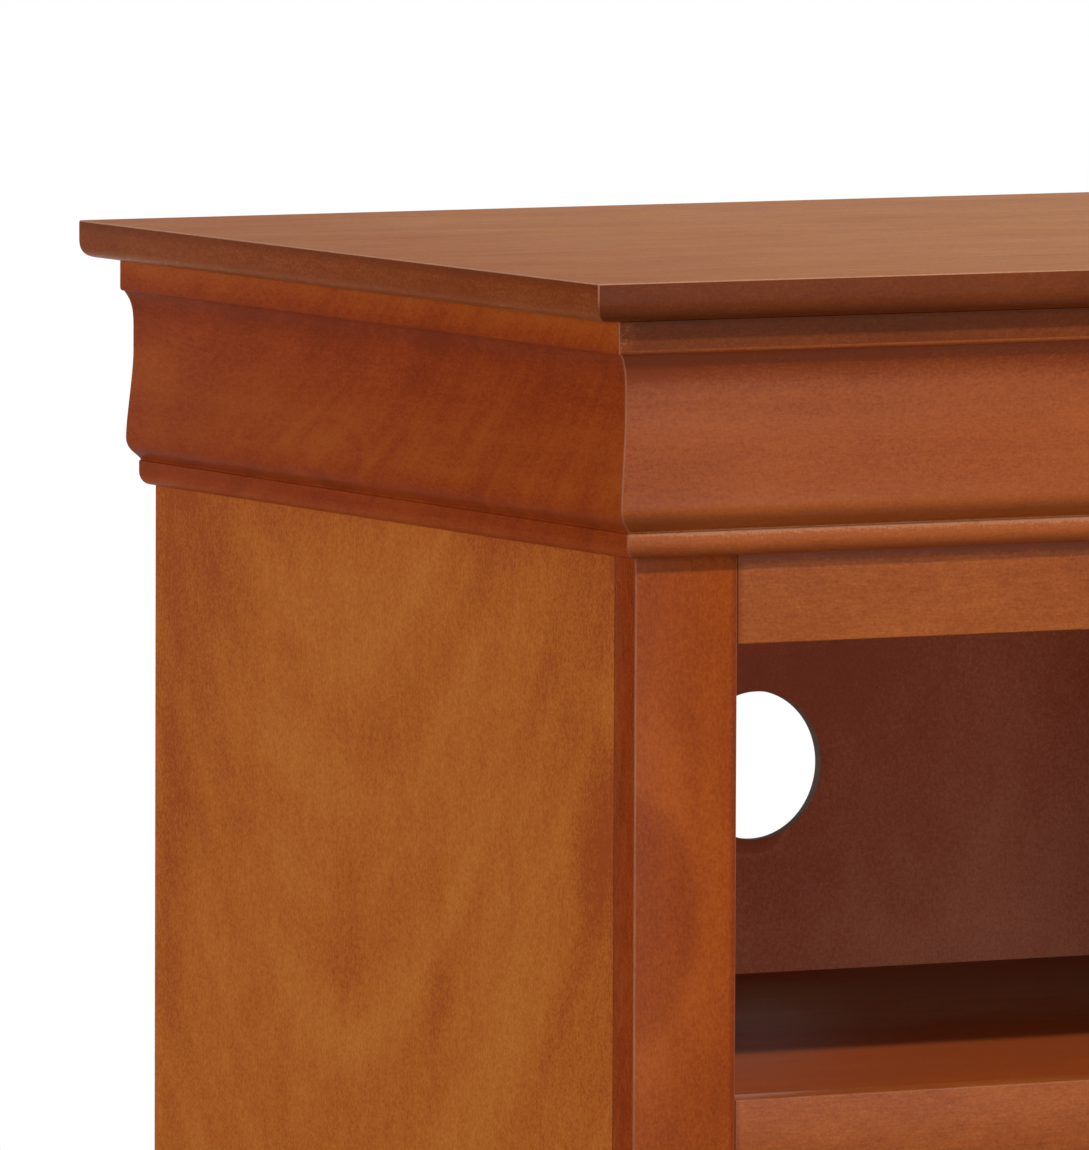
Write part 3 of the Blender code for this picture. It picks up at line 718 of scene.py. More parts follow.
def disc(sides: int, radius: float, depth: float, centre: Place) -> Piece:
    """Start a round piece whose axis runs along Y.

    Args:
        sides: How many sides its rim has.
        radius: Its radius.
        depth: Its length along Y.
        centre: Its middle.

    Returns:
        The piece.
    """
    deselect()
    bpy.ops.mesh.primitive_cylinder_add(vertices=sides, radius=radius, depth=depth, location=centre,
                                        rotation=(math.pi / 2, 0, 0))
    return bpy.context.object


def round_edges(width: float, segments: int, slot: int = 0) -> None:
    """Round the selected edges, and give the new faces a material slot."""
    bpy.ops.mesh.bevel(offset=width, segments=segments, profile=0.5, affect="EDGES", material=slot)


def subtract(piece: Piece, cutter: Piece) -> None:
    """Cut one piece's shape out of another, and remove the cutter.

    Args:
        piece: The piece that is cut.
        cutter: The shape that is taken out.
    """
    take(piece)
    cutting = piece.modifiers.new("Cut", "BOOLEAN")
    cutting.operation = "DIFFERENCE"
    cutting.solver = "EXACT"
    cutting.object = cutter
    bpy.ops.object.modifier_apply(modifier=cutting.name)
    bpy.data.objects.remove(cutter)


def copy_of(piece: Piece, name: str) -> Piece:
    """Copy a piece, with its own mesh.

    Args:
        piece: The piece.
        name: The copy's name.

    Returns:
        The copy.
    """
    twin = piece.copy()
    twin.data = piece.data.copy()
    twin.name = twin.data.name = name
    bpy.context.scene.collection.objects.link(twin)
    return twin


def dress(piece: Piece, body: str, slot: str, *materials: Material, replaces: str = "") -> Piece:
    """Give a piece its materials and body.

    Args:
        piece: The piece.
        body: The CAD body that it rides on.
        slot: The record's material slot; not used.
        *materials: Its materials, in slot order.
        replaces: The CAD node that it stands for, if it stands for one.

    Returns:
        The piece.
    """
    chosen = [polygon.material_index for polygon in piece.data.polygons]
    piece.data.materials.clear()
    for material in materials:
        piece.data.materials.append(material)
    piece.data.polygons.foreach_set("material_index", chosen)
    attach(piece, body)
    if replaces:
        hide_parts(replaces)
    LOG.info("%s: %d faces, on %s", piece.name, len(piece.data.polygons), body)
    return piece


def paint(node: str, material: Material) -> None:
    """Give a CAD node that stays a better material.

    Args:
        node: The node.
        material: Its material.
    """
    data = frame["nodes"][node].data
    data.materials.clear()
    data.materials.append(material)
    LOG.info("%s: CAD node, painted %s", node, material.name)


def bezier(start: Point, leave: Point, arrive: Point, end: Point, steps: int) -> list[Point]:
    """Find points on a cubic curve.

    Args:
        start: Where it starts.
        leave: The control point that it leaves towards.
        arrive: The control point that it arrives from.
        end: Where it ends.
        steps: How many points.

    Returns:
        The points, without the start.
    """
    points = []
    for index in range(1, steps + 1):
        t = index / steps
        weights = ((1 - t) ** 3, 3 * t * (1 - t) ** 2, 3 * t**2 * (1 - t), t**3)
        controls = (start, leave, arrive, end)
        points.append(tuple(sum(w * c[k] for w, c in zip(weights, controls)) for k in (0, 1)))
    return points


def arc(centre: Point, radius: float, first: float, last: float, steps: int) -> list[Point]:
    """Points on an arc between two angles in degrees, both ends included."""
    angles = [math.radians(first + (last - first) * index / steps) for index in range(steps + 1)]
    return [(centre[0] + radius * math.cos(a), centre[1] + radius * math.sin(a)) for a in angles]


SLAB_LOW, SLAB_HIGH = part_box("top_slab")
STILE_LOW, STILE_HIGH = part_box("left_stile")
PANEL_LOW, PANEL_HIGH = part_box("left_side_panel")
FRIEZE_LOW, FRIEZE_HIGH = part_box("frieze_front")
HALF = -STILE_LOW.x
FRONT_Y = STILE_LOW.y
REAR_Y = PANEL_HIGH.y
OPENING_X = -STILE_HIGH.x
LEFT_CORNER = (-HALF, FRONT_Y, 0)
RIGHT_CORNER = (HALF, FRONT_Y, 0)


@dataclass
class Top:
    """The slab: rounded a little above, and more below, on its front and sides."""

    upper_round: float = 0.8 * MM
    lower_round: float = 8.0 * MM
    corner_round: float = 0.9 * MM
    lower_steps: int = 14
    upper_steps: int = 5

    def section(self) -> list[Point]:
        """Draw the edge.

        Returns:
            (inset, height) up the edge, from the underside.
        """
        size = self.lower_round
        lower = bezier((size, 0.0), (0.28 * size, 0.09 * size), (0.0, 0.35 * size), (0.0, size),
                       self.lower_steps)
        centre = (self.upper_round, SLAB_HIGH.z - SLAB_LOW.z - self.upper_round)
        return [(size, 0.0), *lower, *arc(centre, self.upper_round, 180, 90, self.upper_steps)]

    def model(self) -> Piece:
        """Model the slab ring by ring, and give its edges their slots.

        Returns:
            The slab.
        """
        section = self.section()
        half, rear = SLAB_HIGH.x, SLAB_HIGH.y
        depth = rear - SLAB_LOW.y
        inset = section[0][0]
        front = rear - depth + inset
        corners = [(-half + inset, rear), (-half + inset, front), (half - inset, front), (half - inset, rear)]
        piece = trace("top_board", [(x, y, SLAB_LOW.z) for x, y in corners])
        pick("VERT", lambda v: v.co.y < 0)
        bpy.ops.mesh.bevel(offset=self.corner_round, segments=4, affect="VERTICES")
        bpy.ops.mesh.select_all(action="SELECT")
        for (inset, height), (after, above) in zip(section, section[1:]):
            push((0, 0, above - height))
            ratio = ((half - after) / (half - inset), (depth - after) / (depth - inset), 1)
            bpy.ops.transform.resize(value=ratio, center_override=(0, rear, 0))
        bpy.ops.mesh.normals_make_consistent(inside=False)
        # Slots 3 and 4, the corners and the upper arris, carry painted highlights
        for slot, test in (
            (1, lambda f: f.normal.z < 0.99 and abs(f.normal.y) > abs(f.normal.x)),  # front edge
            (2, lambda f: f.normal.z < 0.99 and abs(f.normal.x) >= abs(f.normal.y)),  # side edges
            (0, lambda f: f.normal.z > 0.97),  # top
            (4, lambda f: 0.3 < f.normal.z < 0.97 and f.normal.y < 0.3),  # upper arris
            (3, lambda f: abs(f.normal.z) < 0.6 and min(abs(f.normal.x), abs(f.normal.y)) > 0.2),  # corners
        ):
            give_slot(slot, test)
        return close(piece)

    def build(self) -> None:
        """Model the slab, and dress it."""
        # Painted light on the top: darker to the left and lighter to the right, as the key light falls off
        # across it
        painted_light_falloff = Shade("X", ((-0.546, -0.20), (-0.42, -0.04), (-0.30, 0.04), (0.0, 0.14), (0.546, 0.14)))
        arches = (Arch("Y", 0.03, 7.0, 10.0, 60.0, 0.09), Arch("Y", 0.03, 7.5, 10.0, 170.0, 0.08))
        dark_ends = Shade("X", ((-0.546, -0.30), (-0.52, -0.24), (-0.46, -0.04), (0.46, 0.0), (0.52, -0.2),
                                (0.546, -0.3)))
        # Painted reflection of the pale floor on the lower rounding of the side edges, lighter and greyer;
        # and darker just under the top's arris
        painted_reflection_below = Shade("Z", ((0.950, 0.30), (0.9524, 0.18), (0.9545, 0.0), (0.9605, 0.0), (0.963, -0.2),
                              (0.965, -0.26)))
        # Painted highlight on the front corners: lighter at the top, fading darker down the rounding
        painted_corner_highlight = Shade("Z", ((0.950, -0.5), (0.955, -0.25), (0.960, 0.25), (0.965, 0.5)))
        dress(self.model(), "case", "veneer", TOP_VENEER.make(Grain.ACROSS, 1, painted_light_falloff, *arches),
              EDGE_FRONT.make(Grain.ACROSS, 2, dark_ends), EDGE_SIDE.make(Grain.DEEP, 3, painted_reflection_below),
              RUBBED_LIT_ARRIS.make(Grain.ACROSS, 4, painted_corner_highlight), TOP_ARRIS_HIGHLIGHT.make(Grain.ACROSS, 5), replaces="top_slab")


@dataclass
class MouldingRun:
    """A moulding that runs round the left, front and right of the case, mitred at both corners."""

    name: str
    node: str
    section: list[Point]
    corner_round: float
    materials: dict[Run, tuple[Material, ...]]
    finish_front: Callable[[], None] | None = None
    longest_mitre: float = 0.2

    def whole(self) -> Piece:
        """Draw the section at the rear left, and drive it round the case.

        Returns:
            The moulding, as one closed length.
        """
        reach = 2 * max(out for out, _ in self.section)
        piece = trace(self.name, [(-HALF - out, REAR_Y + reach, z) for out, z in self.section])
        push((0, FRONT_Y - REAR_Y - 2 * reach, 0))
        cut(LEFT_CORNER, (1, -1, 0))
        push((2 * (HALF + reach), 0, 0))
        cut(RIGHT_CORNER, (1, 1, 0))
        push((0, REAR_Y - FRONT_Y + 2 * reach, 0))
        cut((0, REAR_Y, 0), (0, 1, 0))
        faces_out()
        # The mitres' arrises are rounded; on the frieze they take the rubbed finish with its painted
        # highlight
        pick("EDGE", lambda e: all(map(self.on_mitre, e.verts)) and e.calc_length() < self.longest_mitre)
        rubbed_and_lit_slot = min(1, len(self.materials[Run.FRONT]) - 1)
        spare_slots(piece, rubbed_and_lit_slot + 1)
        bpy.ops.mesh.bevel(offset=self.corner_round, segments=4, profile=0.5, affect="EDGES",
                           clamp_overlap=False, material=rubbed_and_lit_slot)
        return close(piece)

    def on_mitre(self, vertex: bmesh.types.BMVert) -> bool:
        """Whether a vertex of the moulding's face lies in a mitre."""
        out, back = FRONT_Y - vertex.co.y, min(out for out, _ in self.section)
        return out > back + STAND_OFF and abs(abs(vertex.co.x) - HALF - out) < TOUCH

    def build(self) -> dict[Run, Piece]:
        """Cut the whole moulding into its three lengths, and dress them.

        Returns:
            The three lengths.
        """
        whole = self.whole()
        lengths = {}
        for run, cuts in (
            (Run.LEFT, [(LEFT_CORNER, (1, -1, 0))]),
            (Run.FRONT, [(LEFT_CORNER, (-1, 1, 0)), (RIGHT_CORNER, (1, 1, 0))]),
            (Run.RIGHT, [(RIGHT_CORNER, (-1, -1, 0))]),
        ):
            piece = copy_of(whole, f"{self.name}_{run.value}")
            edit(piece)
            for point, normal in cuts:
                cut(point, normal)
            if run is Run.FRONT and self.finish_front is not None:
                self.finish_front()
            close(piece)
            lengths[run] = dress(piece, "case", "solid_wood", *self.materials[run],
                                 replaces=f"{self.node}_{run.value}")
        bpy.data.objects.remove(whole)
        return lengths


@dataclass
class Frieze:
    """The ogee moulding under the top: bead, quirk, belly, hollow and fillet."""

    fillet_out: float = 15.9 * MM
    fillet_height: float = 12.6 * MM
    hollow_out: float = 10.0 * MM
    hollow_low: float = 52.2 * MM
    hollow_high: float = 59.2 * MM
    belly_out: float = 13.2 * MM
    belly_height: float = 19.2 * MM
    bead_out: float = 7.4 * MM
    bead_height: float = 10.0 * MM
    bead_round: float = 5.5 * MM
    bead_crest: float = 0.7 * MM
    quirk: float = 0.6 * MM
    arris: float = 1.8 * MM
    # How far the curves run on straight from where they start and end
    spring: Point = (1.6 * MM, 2.0 * MM)
    belly_below: float = 5.0 * MM
    belly_above: float = 7.4 * MM
    hollow_lean: float = 0.3 * MM
    hollow_below: float = 9.8 * MM
    hollow_above: float = 8.0 * MM
    nose_lean: Point = (4.4 * MM, 5.0 * MM)

    def section(self) -> list[Point]:
        """Draw the moulding's section.

        Returns:
            (out, height) round it, from the back of its foot.
        """
        foot, head = FRIEZE_LOW.z, FRIEZE_HIGH.z
        bead_top = foot + self.bead_height
        fillet_bottom = head - self.fillet_height
        quirk = (self.bead_out - self.quirk, bead_top + 0.5 * MM)
        belly = (self.belly_out, foot + self.belly_height)
        hollow_low = (self.hollow_out, foot + self.hollow_low)
        hollow_high = (self.hollow_out, foot + self.hollow_high)
        nose = (self.fillet_out, fillet_bottom + self.arris)
        crest = (self.bead_out - self.bead_crest, bead_top - self.bead_crest)
        points = [(STAND_OFF, foot)]
        points += arc((self.bead_out - self.bead_round, foot + self.bead_round), self.bead_round, -90, 0, 10)
        points += arc(crest, self.bead_crest, 0, 90, 5)
        points.append(quirk)
        points += bezier(quirk, (quirk[0] + self.spring[0], quirk[1] + self.spring[1]),
                         (self.belly_out, belly[1] - self.belly_below), belly, 14)
        points += bezier(belly, (self.belly_out, belly[1] + self.belly_above),
                         (self.hollow_out + self.hollow_lean, hollow_low[1] - self.hollow_below),
                         hollow_low, 16)
        points += bezier(hollow_low, hollow_low, hollow_high, hollow_high, 3)
        lean = (self.fillet_out - self.arris - self.nose_lean[0], fillet_bottom - self.nose_lean[1])
        points += bezier(hollow_high, (self.hollow_out, hollow_high[1] + self.hollow_above), lean,
                         (self.fillet_out - self.arris, fillet_bottom), 16)
        points += bezier(points[-1], (self.fillet_out - 0.3 * self.arris, fillet_bottom + 0.05 * self.arris),
                         (self.fillet_out, fillet_bottom + 0.4 * self.arris), nose, 7)
        return [*points, (self.fillet_out, head), (STAND_OFF, head)]

    def build(self) -> None:
        """Run the moulding round the case."""
        # Painted light and shade on the side lengths, by height: lighter on the bead, belly and fillet,
        # darker above the bead and in the cove
        side_painted_shading = Shade("Z", (
            (0.860, 0.18), (0.8635, 0.06), (0.866, -0.08), (0.8735, -0.10), (0.884, 0.14), (0.900, 0.18),
            (0.914, 0.04), (0.926, -0.06), (0.932, -0.22), (0.9365, -0.24), (0.9385, -0.04), (0.943, 0.10),
            (0.950, 0.28)))
        # Painted light and stain on the front, by height: a painted highlight up the bead to its crest,
        # painted light on the belly's underside, and painted shade over heavier stain in the cove under the
        # fillet
        front_stain_and_painted_light = Shade("Z", (
            (0.860, 0.0), (0.8620, 0.12), (0.8655, 0.20), (0.8674, 0.27), (0.8688, 0.48), (0.8701, 0.60),
            (0.8706, 0.08), (0.876, 0.16), (0.882, 0.06), (0.898, 0.0), (0.908, 0.10), (0.920, 0.03),
            (0.9235, -0.04), (0.9265, -0.14), (0.9300, -0.23), (0.9325, -0.26), (0.9370, -0.34),
            (0.9372, -0.10), (0.9392, -0.04), (0.950, 0.0)))
        # Painted light on the front fillet: lighter towards its lower edge, below the slab's shadow
        fillet_painted_light = Shade("Z", ((0.9385, 0.10), (0.9440, 0.07), (0.9455, 0.03), (0.950, 0.02)))
        mitre_stain = Shade("X", ((-0.532, -0.16), (-0.516, -0.12), (-0.47, 0.0), (0.47, 0.0), (0.516, -0.12),
                                  (0.532, -0.16)))
        # Painted light: a greyish lit patch at the left end of the front fillet, where light comes in past
        # the corner
        painted_light_patch = Knot((-0.5318, 0.9460), (0.0066, 0.0080), 0.30, "X", LIGHT_PATCH_RINGS)
        curl = [Ripple(spacing, length, share, slope=0.75, curve=-1.8)
                for spacing, length, share in ((2.6, 40.0, 0.09), (6.5, 50.0, 0.08), (24.0, 90.0, 0.19))]
        curl += [Knot((0.182, 0.908), (0.014, 0.060), 0.10, "Y", PALE_PATCH),
                 Knot((0.035, 0.884), (0.030, 0.016), 0.14, "Y", PALE_RING)]
        rubbed_and_lit = RUBBED_LIT_ARRIS.make(Grain.UPRIGHT, 14)
        materials = {
            Run.LEFT: (SIDE_SOLID.make(Grain.DEEP, 11, side_painted_shading, *curl), rubbed_and_lit),
            Run.FRONT: (FRIEZE.make(Grain.ACROSS, 12, front_stain_and_painted_light, mitre_stain), rubbed_and_lit,
                        STAINED_SHADOWED_FILLET.make(Grain.ACROSS, 15, fillet_painted_light, painted_light_patch)),
            Run.RIGHT: (SIDE_SOLID.make(Grain.DEEP, 13, side_painted_shading, *curl), rubbed_and_lit),
        }
        MouldingRun("ogee", "frieze", self.section(), 0.5 * MM, materials, self.finish_front).build()

    def finish_front(self) -> None:
        """Give the face of the front fillet its dark stain and painted shadow."""
        fillet = FRIEZE_HIGH.z - self.fillet_height + self.arris
        give_slot(2, lambda f: f.normal.y < -0.9 and f.calc_center_median().z > fillet)


@dataclass
class Board:
    """A board of the front frame, with its front arrises eased, rubbed and lit by a painted highlight."""

    node: str
    grain: Grain
    seed: int
    stretch: float = 0.0
    features: tuple[Feature, ...] = ()
    arris: float = 0.6 * MM

    def build(self) -> None:
        """Model the board over its CAD node, and dress it."""
        low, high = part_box(self.node)
        low.x -= self.stretch
        high.x += self.stretch
        piece = block(f"{self.node}_board", low, high)
        spare_slots(piece, 2)
        # The front arrises take slot 1: rubbed, and lit by a painted highlight
        pick_edges_at(low.y)
        round_edges(self.arris, 3, 1)
        give_slot(2, lambda f: abs(f.normal.x) > 0.95)  # the sides that face along the front
        give_slot(3, self.in_joint)
        # The lower arris faces down: plain wood, without the painted highlight
        give_slot(0, lambda f: -0.95 < f.normal.z < -0.1)  # the lower arris, which nothing rubs
        close(piece)
        wood = STILE if self.grain is Grain.UPRIGHT else SOLID
        dress(piece, "case", "solid_wood", wood.make(self.grain, self.seed, *self.features),
              RUBBED_LIT_ARRIS.make(self.grain, self.seed), STILE_SIDE.make(self.grain, self.seed),
              JOINT.make(self.grain, self.seed), replaces=self.node)

    @staticmethod
    def in_joint(face: bmesh.types.BMFace) -> bool:
        """Whether a face of an eased arris lies along the joint of a stile and the rails."""
        near = abs(abs(face.calc_center_median().x) - OPENING_X) < 1 * MM
        return near and 0.1 < abs(face.normal.x) < 0.95


@dataclass
class Case:
    """The case: side panels, front frame, bay and back."""

    joint_gap: float = 0.55 * MM
    hole_sides: int = 96
    hole_radius: float = 30.0 * MM
    hole_x: float = 250.5 * MM
    hole_z: float = 738.2 * MM
    drill_length: float = 40.0 * MM

    def build(self) -> None:
        """Build the boards of the case."""
        self.frame_boards()
        self.back()
        self.side_panels()
        paint("bay_divider", INSIDE.make(Grain.UPRIGHT, 33))
        # Painted shade: the bay floor darker and greyer towards the back, where the top rail shades it, and a
        # little lighter at the front
        floor_painted_shade = Shade("Y", ((-0.17, 0.06), (-0.02, 0.0), (0.06, -0.24), (0.196, -0.30)))
        paint("bay_floor", FLOOR_STAIN.make(Grain.ACROSS, 34, floor_painted_shade))
        for seed, node in enumerate(("bottom_panel", "rear_top_rail", "plinth_back"), 41):
            paint(node, PLAIN.make(Grain.ACROSS, seed))
        for node in sorted(name for name in frame["nodes"] if "_runner_" in name):
            paint(node, PLAIN.make(Grain.DEEP, 44))

    @staticmethod
    def side_panels() -> None:
        """Paint the side panels: arched grain, soft marks, and stain that caught the edges."""
        overspray = Shade("Y", ((-0.176, -0.10), (-0.150, -0.05), (-0.10, 0.0), (0.10, 0.02), (0.17, -0.02),
                                (0.196, -0.12), (0.208, -0.04)))
        under_frieze = Shade("Z", ((0.60, 0.0), (0.80, 0.0), (0.845, -0.06), (0.860, -0.14)))
        arches = (Arch("Y", 0.05, -1.6, 130.0, 60.0, 0.19), Arch("Y", 0.05, -1.8, 110.0, 24.0, 0.11))
        marks = [Knot(centre, radii, share, "Y", rings) for centre, radii, share, rings in (
            ((0.010, 0.822), (0.075, 0.042), 0.13, SOFT_PALE),
            ((-0.158, 0.757), (0.020, 0.040), 0.26, SOFT_DARK),
            ((0.092, 0.804), (0.014, 0.008), 0.13, SOFT_DARK),
            ((0.160, 0.815), (0.050, 0.045), 0.13, SOFT_DARK),
            ((0.190, 0.722), (0.022, 0.036), 0.14, SOFT_DARK),
            ((0.085, 0.722), (0.036, 0.020), 0.10, SOFT_PALE),
            ((0.044, 0.690), (0.018, 0.032), 0.13, SOFT_DARK),
            ((-0.034, 0.690), (0.012, 0.048), 0.10, SOFT_DARK),
        )]
        for seed, node in enumerate(("left_side_panel", "right_side_panel"), 31):
            paint(node, SIDE_VENEER.make(Grain.UPRIGHT, seed, overspray, under_frieze, *arches, *marks))

    def frame_boards(self) -> None:
        """Build the stiles and rails."""
        into_opening = ((0.4722, -0.34), (0.4740, -0.22), (0.4756, 0.0), (0.516, 0.0))
        marks = {
            "left_stile": (Knot((-0.517, 0.724), (0.023, 0.038), 0.13, "X", DARK_HEART),
                           Shade("X", tuple((-x, shift) for x, shift in reversed(into_opening)))),
            "right_stile": (Shade("X", into_opening),),
        }
        for seed, node in enumerate(("left_stile", "right_stile", "bay_divider_stile"), 51):
            Board(node, Grain.UPRIGHT, seed, features=marks.get(node, ())).build()
        ends = Shade("X", ((-0.4732, -0.36), (-0.4712, 0.0), (0.4712, 0.0), (0.4732, -0.36)))
        # Painted shadow of the bead on the top rail: darker just under it; the rail also lighter towards its
        # bottom
        painted_shadow_under_bead = Shade("Z", ((0.826, 0.10), (0.838, 0.08), (0.850, 0.0), (0.8558, 0.0), (0.8570, -0.28),
                                 (0.860, -0.40)))
        rails = ("bay_top_rail", "bay_floor_rail", "upper_drawer_rail", "lower_drawer_rail", "bottom_rail")
        for seed, node in enumerate(rails, 54):
            shades = (ends, painted_shadow_under_bead) if node == "bay_top_rail" else (ends,)
            Board(node, Grain.ACROSS, seed, self.joint_gap, shades).build()

    def back(self) -> None:
        """Build the back panel with its two round cable holes."""
        low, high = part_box("back_panel")
        piece = block("back_board", low, high)
        spare_slots(piece, 2)
        for side in (-1, 1):
            centre = (side * self.hole_x, (low.y + high.y) / 2, self.hole_z)
            subtract(piece, disc(self.hole_sides, self.hole_radius, self.drill_length, centre))
        edit(piece)
        give_slot(2, lambda f: f.normal.y > 0.9)
        give_slot(1, self.in_hole)
        close(piece)
        # Painted light: the back panel lighter low in the bay, where the front light reaches it
        painted_light_low = Shade("Z", ((0.654, 0.32), (0.70, 0.20), (0.78, 0.06), (0.86, -0.02)))
        # Darker towards the left, from the left hole outwards
        darker_to_the_left = Shade("X", ((-0.25, -0.14), (-0.17, -0.06), (-0.10, 0.0), (0.5, 0.0)))
        chips = [Knot((side * self.hole_x - 2 * MM, self.hole_z - 27.5 * MM), (15 * MM, 9.5 * MM), 0.26, "X",
                      CHIPPED) for side in (-1, 1)]
        dress(piece, "case", "inside_panel", INSIDE.make(Grain.UPRIGHT, 61, painted_light_low, darker_to_the_left, *chips),
              RAW_EDGE.make(Grain.DEEP, 62), BACK_FACE.make(Grain.UPRIGHT, 63), replaces="back_panel")

    def in_hole(self, face: bmesh.types.BMFace) -> bool:
        """Find the walls of the cable holes.

        Args:
            face: A face of the back panel.

        Returns:
            Whether it is one.
        """
        x, _, z = face.calc_center_median()
        reach = math.hypot(abs(x) - self.hole_x, z - self.hole_z)
        return abs(face.normal.y) < 0.1 and reach < self.hole_radius + 1 * MM


@dataclass
class BackScrews:
    """The countersunk cross-head screws that hold the back panel in its rebates."""

    head_sides: int = 24
    head_radius: float = 3.4 * MM
    head_height: float = 1.0 * MM
    head_round: float = 0.45 * MM
    sunk: float = 0.4 * MM
    recess_width: float = 0.8 * MM
    recess_reach: float = 2.1 * MM
    recess_depth: float = 0.6 * MM
    margin: float = 12.0 * MM
    rows: int = 5
    columns: int = 6
    turn_degrees: int = 37

    def places(self) -> list[Point]:
        """Spread the screws round the panel's edges.

        Returns:
            (x, height) of each.
        """
        low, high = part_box("back_panel")
        left, right = low.x + self.margin, high.x - self.margin
        foot, head = low.z + self.margin, high.z - self.margin
        upright = [(x, foot + (head - foot) * row / (self.rows - 1))
                   for x in (left, right) for row in range(self.rows)]
        level = [(left + (right - left) * column / (self.columns - 1), z)
                 for z in (foot, head) for column in range(1, self.columns - 1)]
        return upright + level

    def head(self, face_y: float) -> Piece:
        """Model one head at the origin's X and Z, with its cross recess.

        Args:
            face_y: Where the panel's back face is.

        Returns:
            The head.
        """
        front = face_y - self.sunk + self.head_height
        middle = (0, front - self.head_height / 2, 0)
        piece = disc(self.head_sides, self.head_radius, self.head_height, middle)
        bpy.ops.object.transform_apply(location=True, rotation=True, scale=True)
        edit(piece)
        pick_edges_at(front)
        round_edges(self.head_round, 3)
        for wide, high in ((self.recess_reach, self.recess_width / 2),
                           (self.recess_width / 2, self.recess_reach)):
            corners = ((-wide, front - self.recess_depth, -high), (wide, front + 1 * MM, high))
            subtract(piece, block("recess_cutter", *corners))
        return close(piece, 35)

    def build(self, brass: Material) -> None:
        """Model one screw, and copy it to its places.

        Args:
            brass: The screws' material.
        """
        head = self.head(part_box("back_panel")[1].y)
        for number, (x, z) in enumerate(self.places(), 1):
            screw = copy_of(head, f"back_screw_{number}")
            edit(screw)
            turn = math.radians(self.turn_degrees * number % 90)
            bpy.ops.transform.rotate(value=turn, orient_axis="Y", center_override=(0, 0, 0))
            bpy.ops.transform.translate(value=(x, 0, z))
            deselect()
            dress(screw, "case", "brass", brass)
        bpy.data.objects.remove(head)


@dataclass
class Plinth:
    """The plinth boards with arched aprons, and the cap moulding on top of them."""

    out: float = 10.0 * MM
    thickness: float = 22.0 * MM
    height: float = 100.0 * MM
    arris: float = 1.0 * MM
    apron_depth: float = 45.0 * MM
    foot_width: float = 100.0 * MM
    foot_curve: float = 50.0 * MM
    cap_height: float = 20.0 * MM
    cap_fillet: float = 4.0 * MM
    cap_overhang: float = 2.0 * MM
    cap_top_out: float = 3.0 * MM
    cap_arris: float = 0.5 * MM
    cap_mitre: float = 0.8 * MM
    board_mitre: float = 1.2 * MM
    cutter_depth: float = 100.0 * MM
    cutter_below: float = 10.0 * MM

    def cap_section(self) -> list[Point]:
        """Draw the cap moulding's section.

        Returns:
            (out, height) round it, from the back of its foot.
        """
        low = self.height + STAND_OFF
        nose = self.out + self.cap_overhang
        arris = self.cap_arris
        fillet_top = low + self.cap_fillet
        top = self.height + self.cap_height
        points = [(STAND_OFF, low)]
        points += arc((nose - arris, low + arris), arris, -90, 0, 3)
        points += arc((nose - arris, fillet_top - arris), arris, 0, 90, 3)
        points += bezier(points[-1], (0.55 * nose, fillet_top + 2 * MM),
                         (self.cap_top_out + 2 * MM, fillet_top + 0.5 * (top - fillet_top)),
                         (self.cap_top_out, top), 12)
        return [*points, (STAND_OFF, top)]

    def arch(self, first: float, last: float) -> list[Point]:
        """Draw the space under an apron.

        Args:
            first: Where its first foot ends.
            last: Where its last foot starts.

        Returns:
            (along, height) round it.
        """
        apron = self.height - self.apron_depth
        rise = [(0.0, -self.cutter_below), (0.0, 0.0)]
        rise += bezier((0.0, 0.0), (0.05 * self.foot_curve, 0.6 * apron),
                       (0.35 * self.foot_curve, apron), (self.foot_curve, apron), 16)
        return [(first + a, z) for a, z in rise] + [(last - a, z) for a, z in reversed(rise)]

    @staticmethod
    def woods(seed: int) -> dict[Run, tuple[Material, ...]]:
        """The wood of a moulding's left, front and right lengths, from a seed on."""
        return {Run.LEFT: (SIDE_SOLID.make(Grain.DEEP, seed),),
                Run.FRONT: (SOLID.make(Grain.ACROSS, seed + 1),),
                Run.RIGHT: (SIDE_SOLID.make(Grain.DEEP, seed + 2),)}

    def build(self) -> None:
        """Build the boards and the cap."""
        MouldingRun("cap_moulding", "base_cap", self.cap_section(), self.cap_mitre, self.woods(71)).build()
        inner = self.out - self.thickness
        foot = arc((self.out - self.arris, self.arris), self.arris, -90, 0, 3)
        section = [(inner, 0.0), *foot, (self.out, self.height), (inner, self.height)]
        lengths = MouldingRun("plinth_board", "plinth", section, self.board_mitre, self.woods(74)).build()
        for run, piece in lengths.items():
            self.cut_arch(run, piece)

    def cut_arch(self, run: Run, piece: Piece) -> None:
        """Cut the space under the apron out of one board.

        Args:
            run: Which board it is.
            piece: The board.
        """
        before = self.cutter_depth / 2
        if run is Run.FRONT:
            outline = self.arch(self.foot_width - HALF, HALF - self.foot_width)
            cutter = trace("arch_cutter", [(a, FRONT_Y - before, z) for a, z in outline])
            push((0, self.cutter_depth, 0))
        else:
            side = -1 if run is Run.LEFT else 1
            outline = self.arch(FRONT_Y + self.foot_width, REAR_Y - self.foot_width)
            cutter = trace("arch_cutter", [(side * HALF - before, a, z) for a, z in outline])
            push((self.cutter_depth, 0, 0))
        close(cutter)
        subtract(piece, cutter)
        bpy.ops.object.shade_smooth_by_angle(angle=math.radians(30))


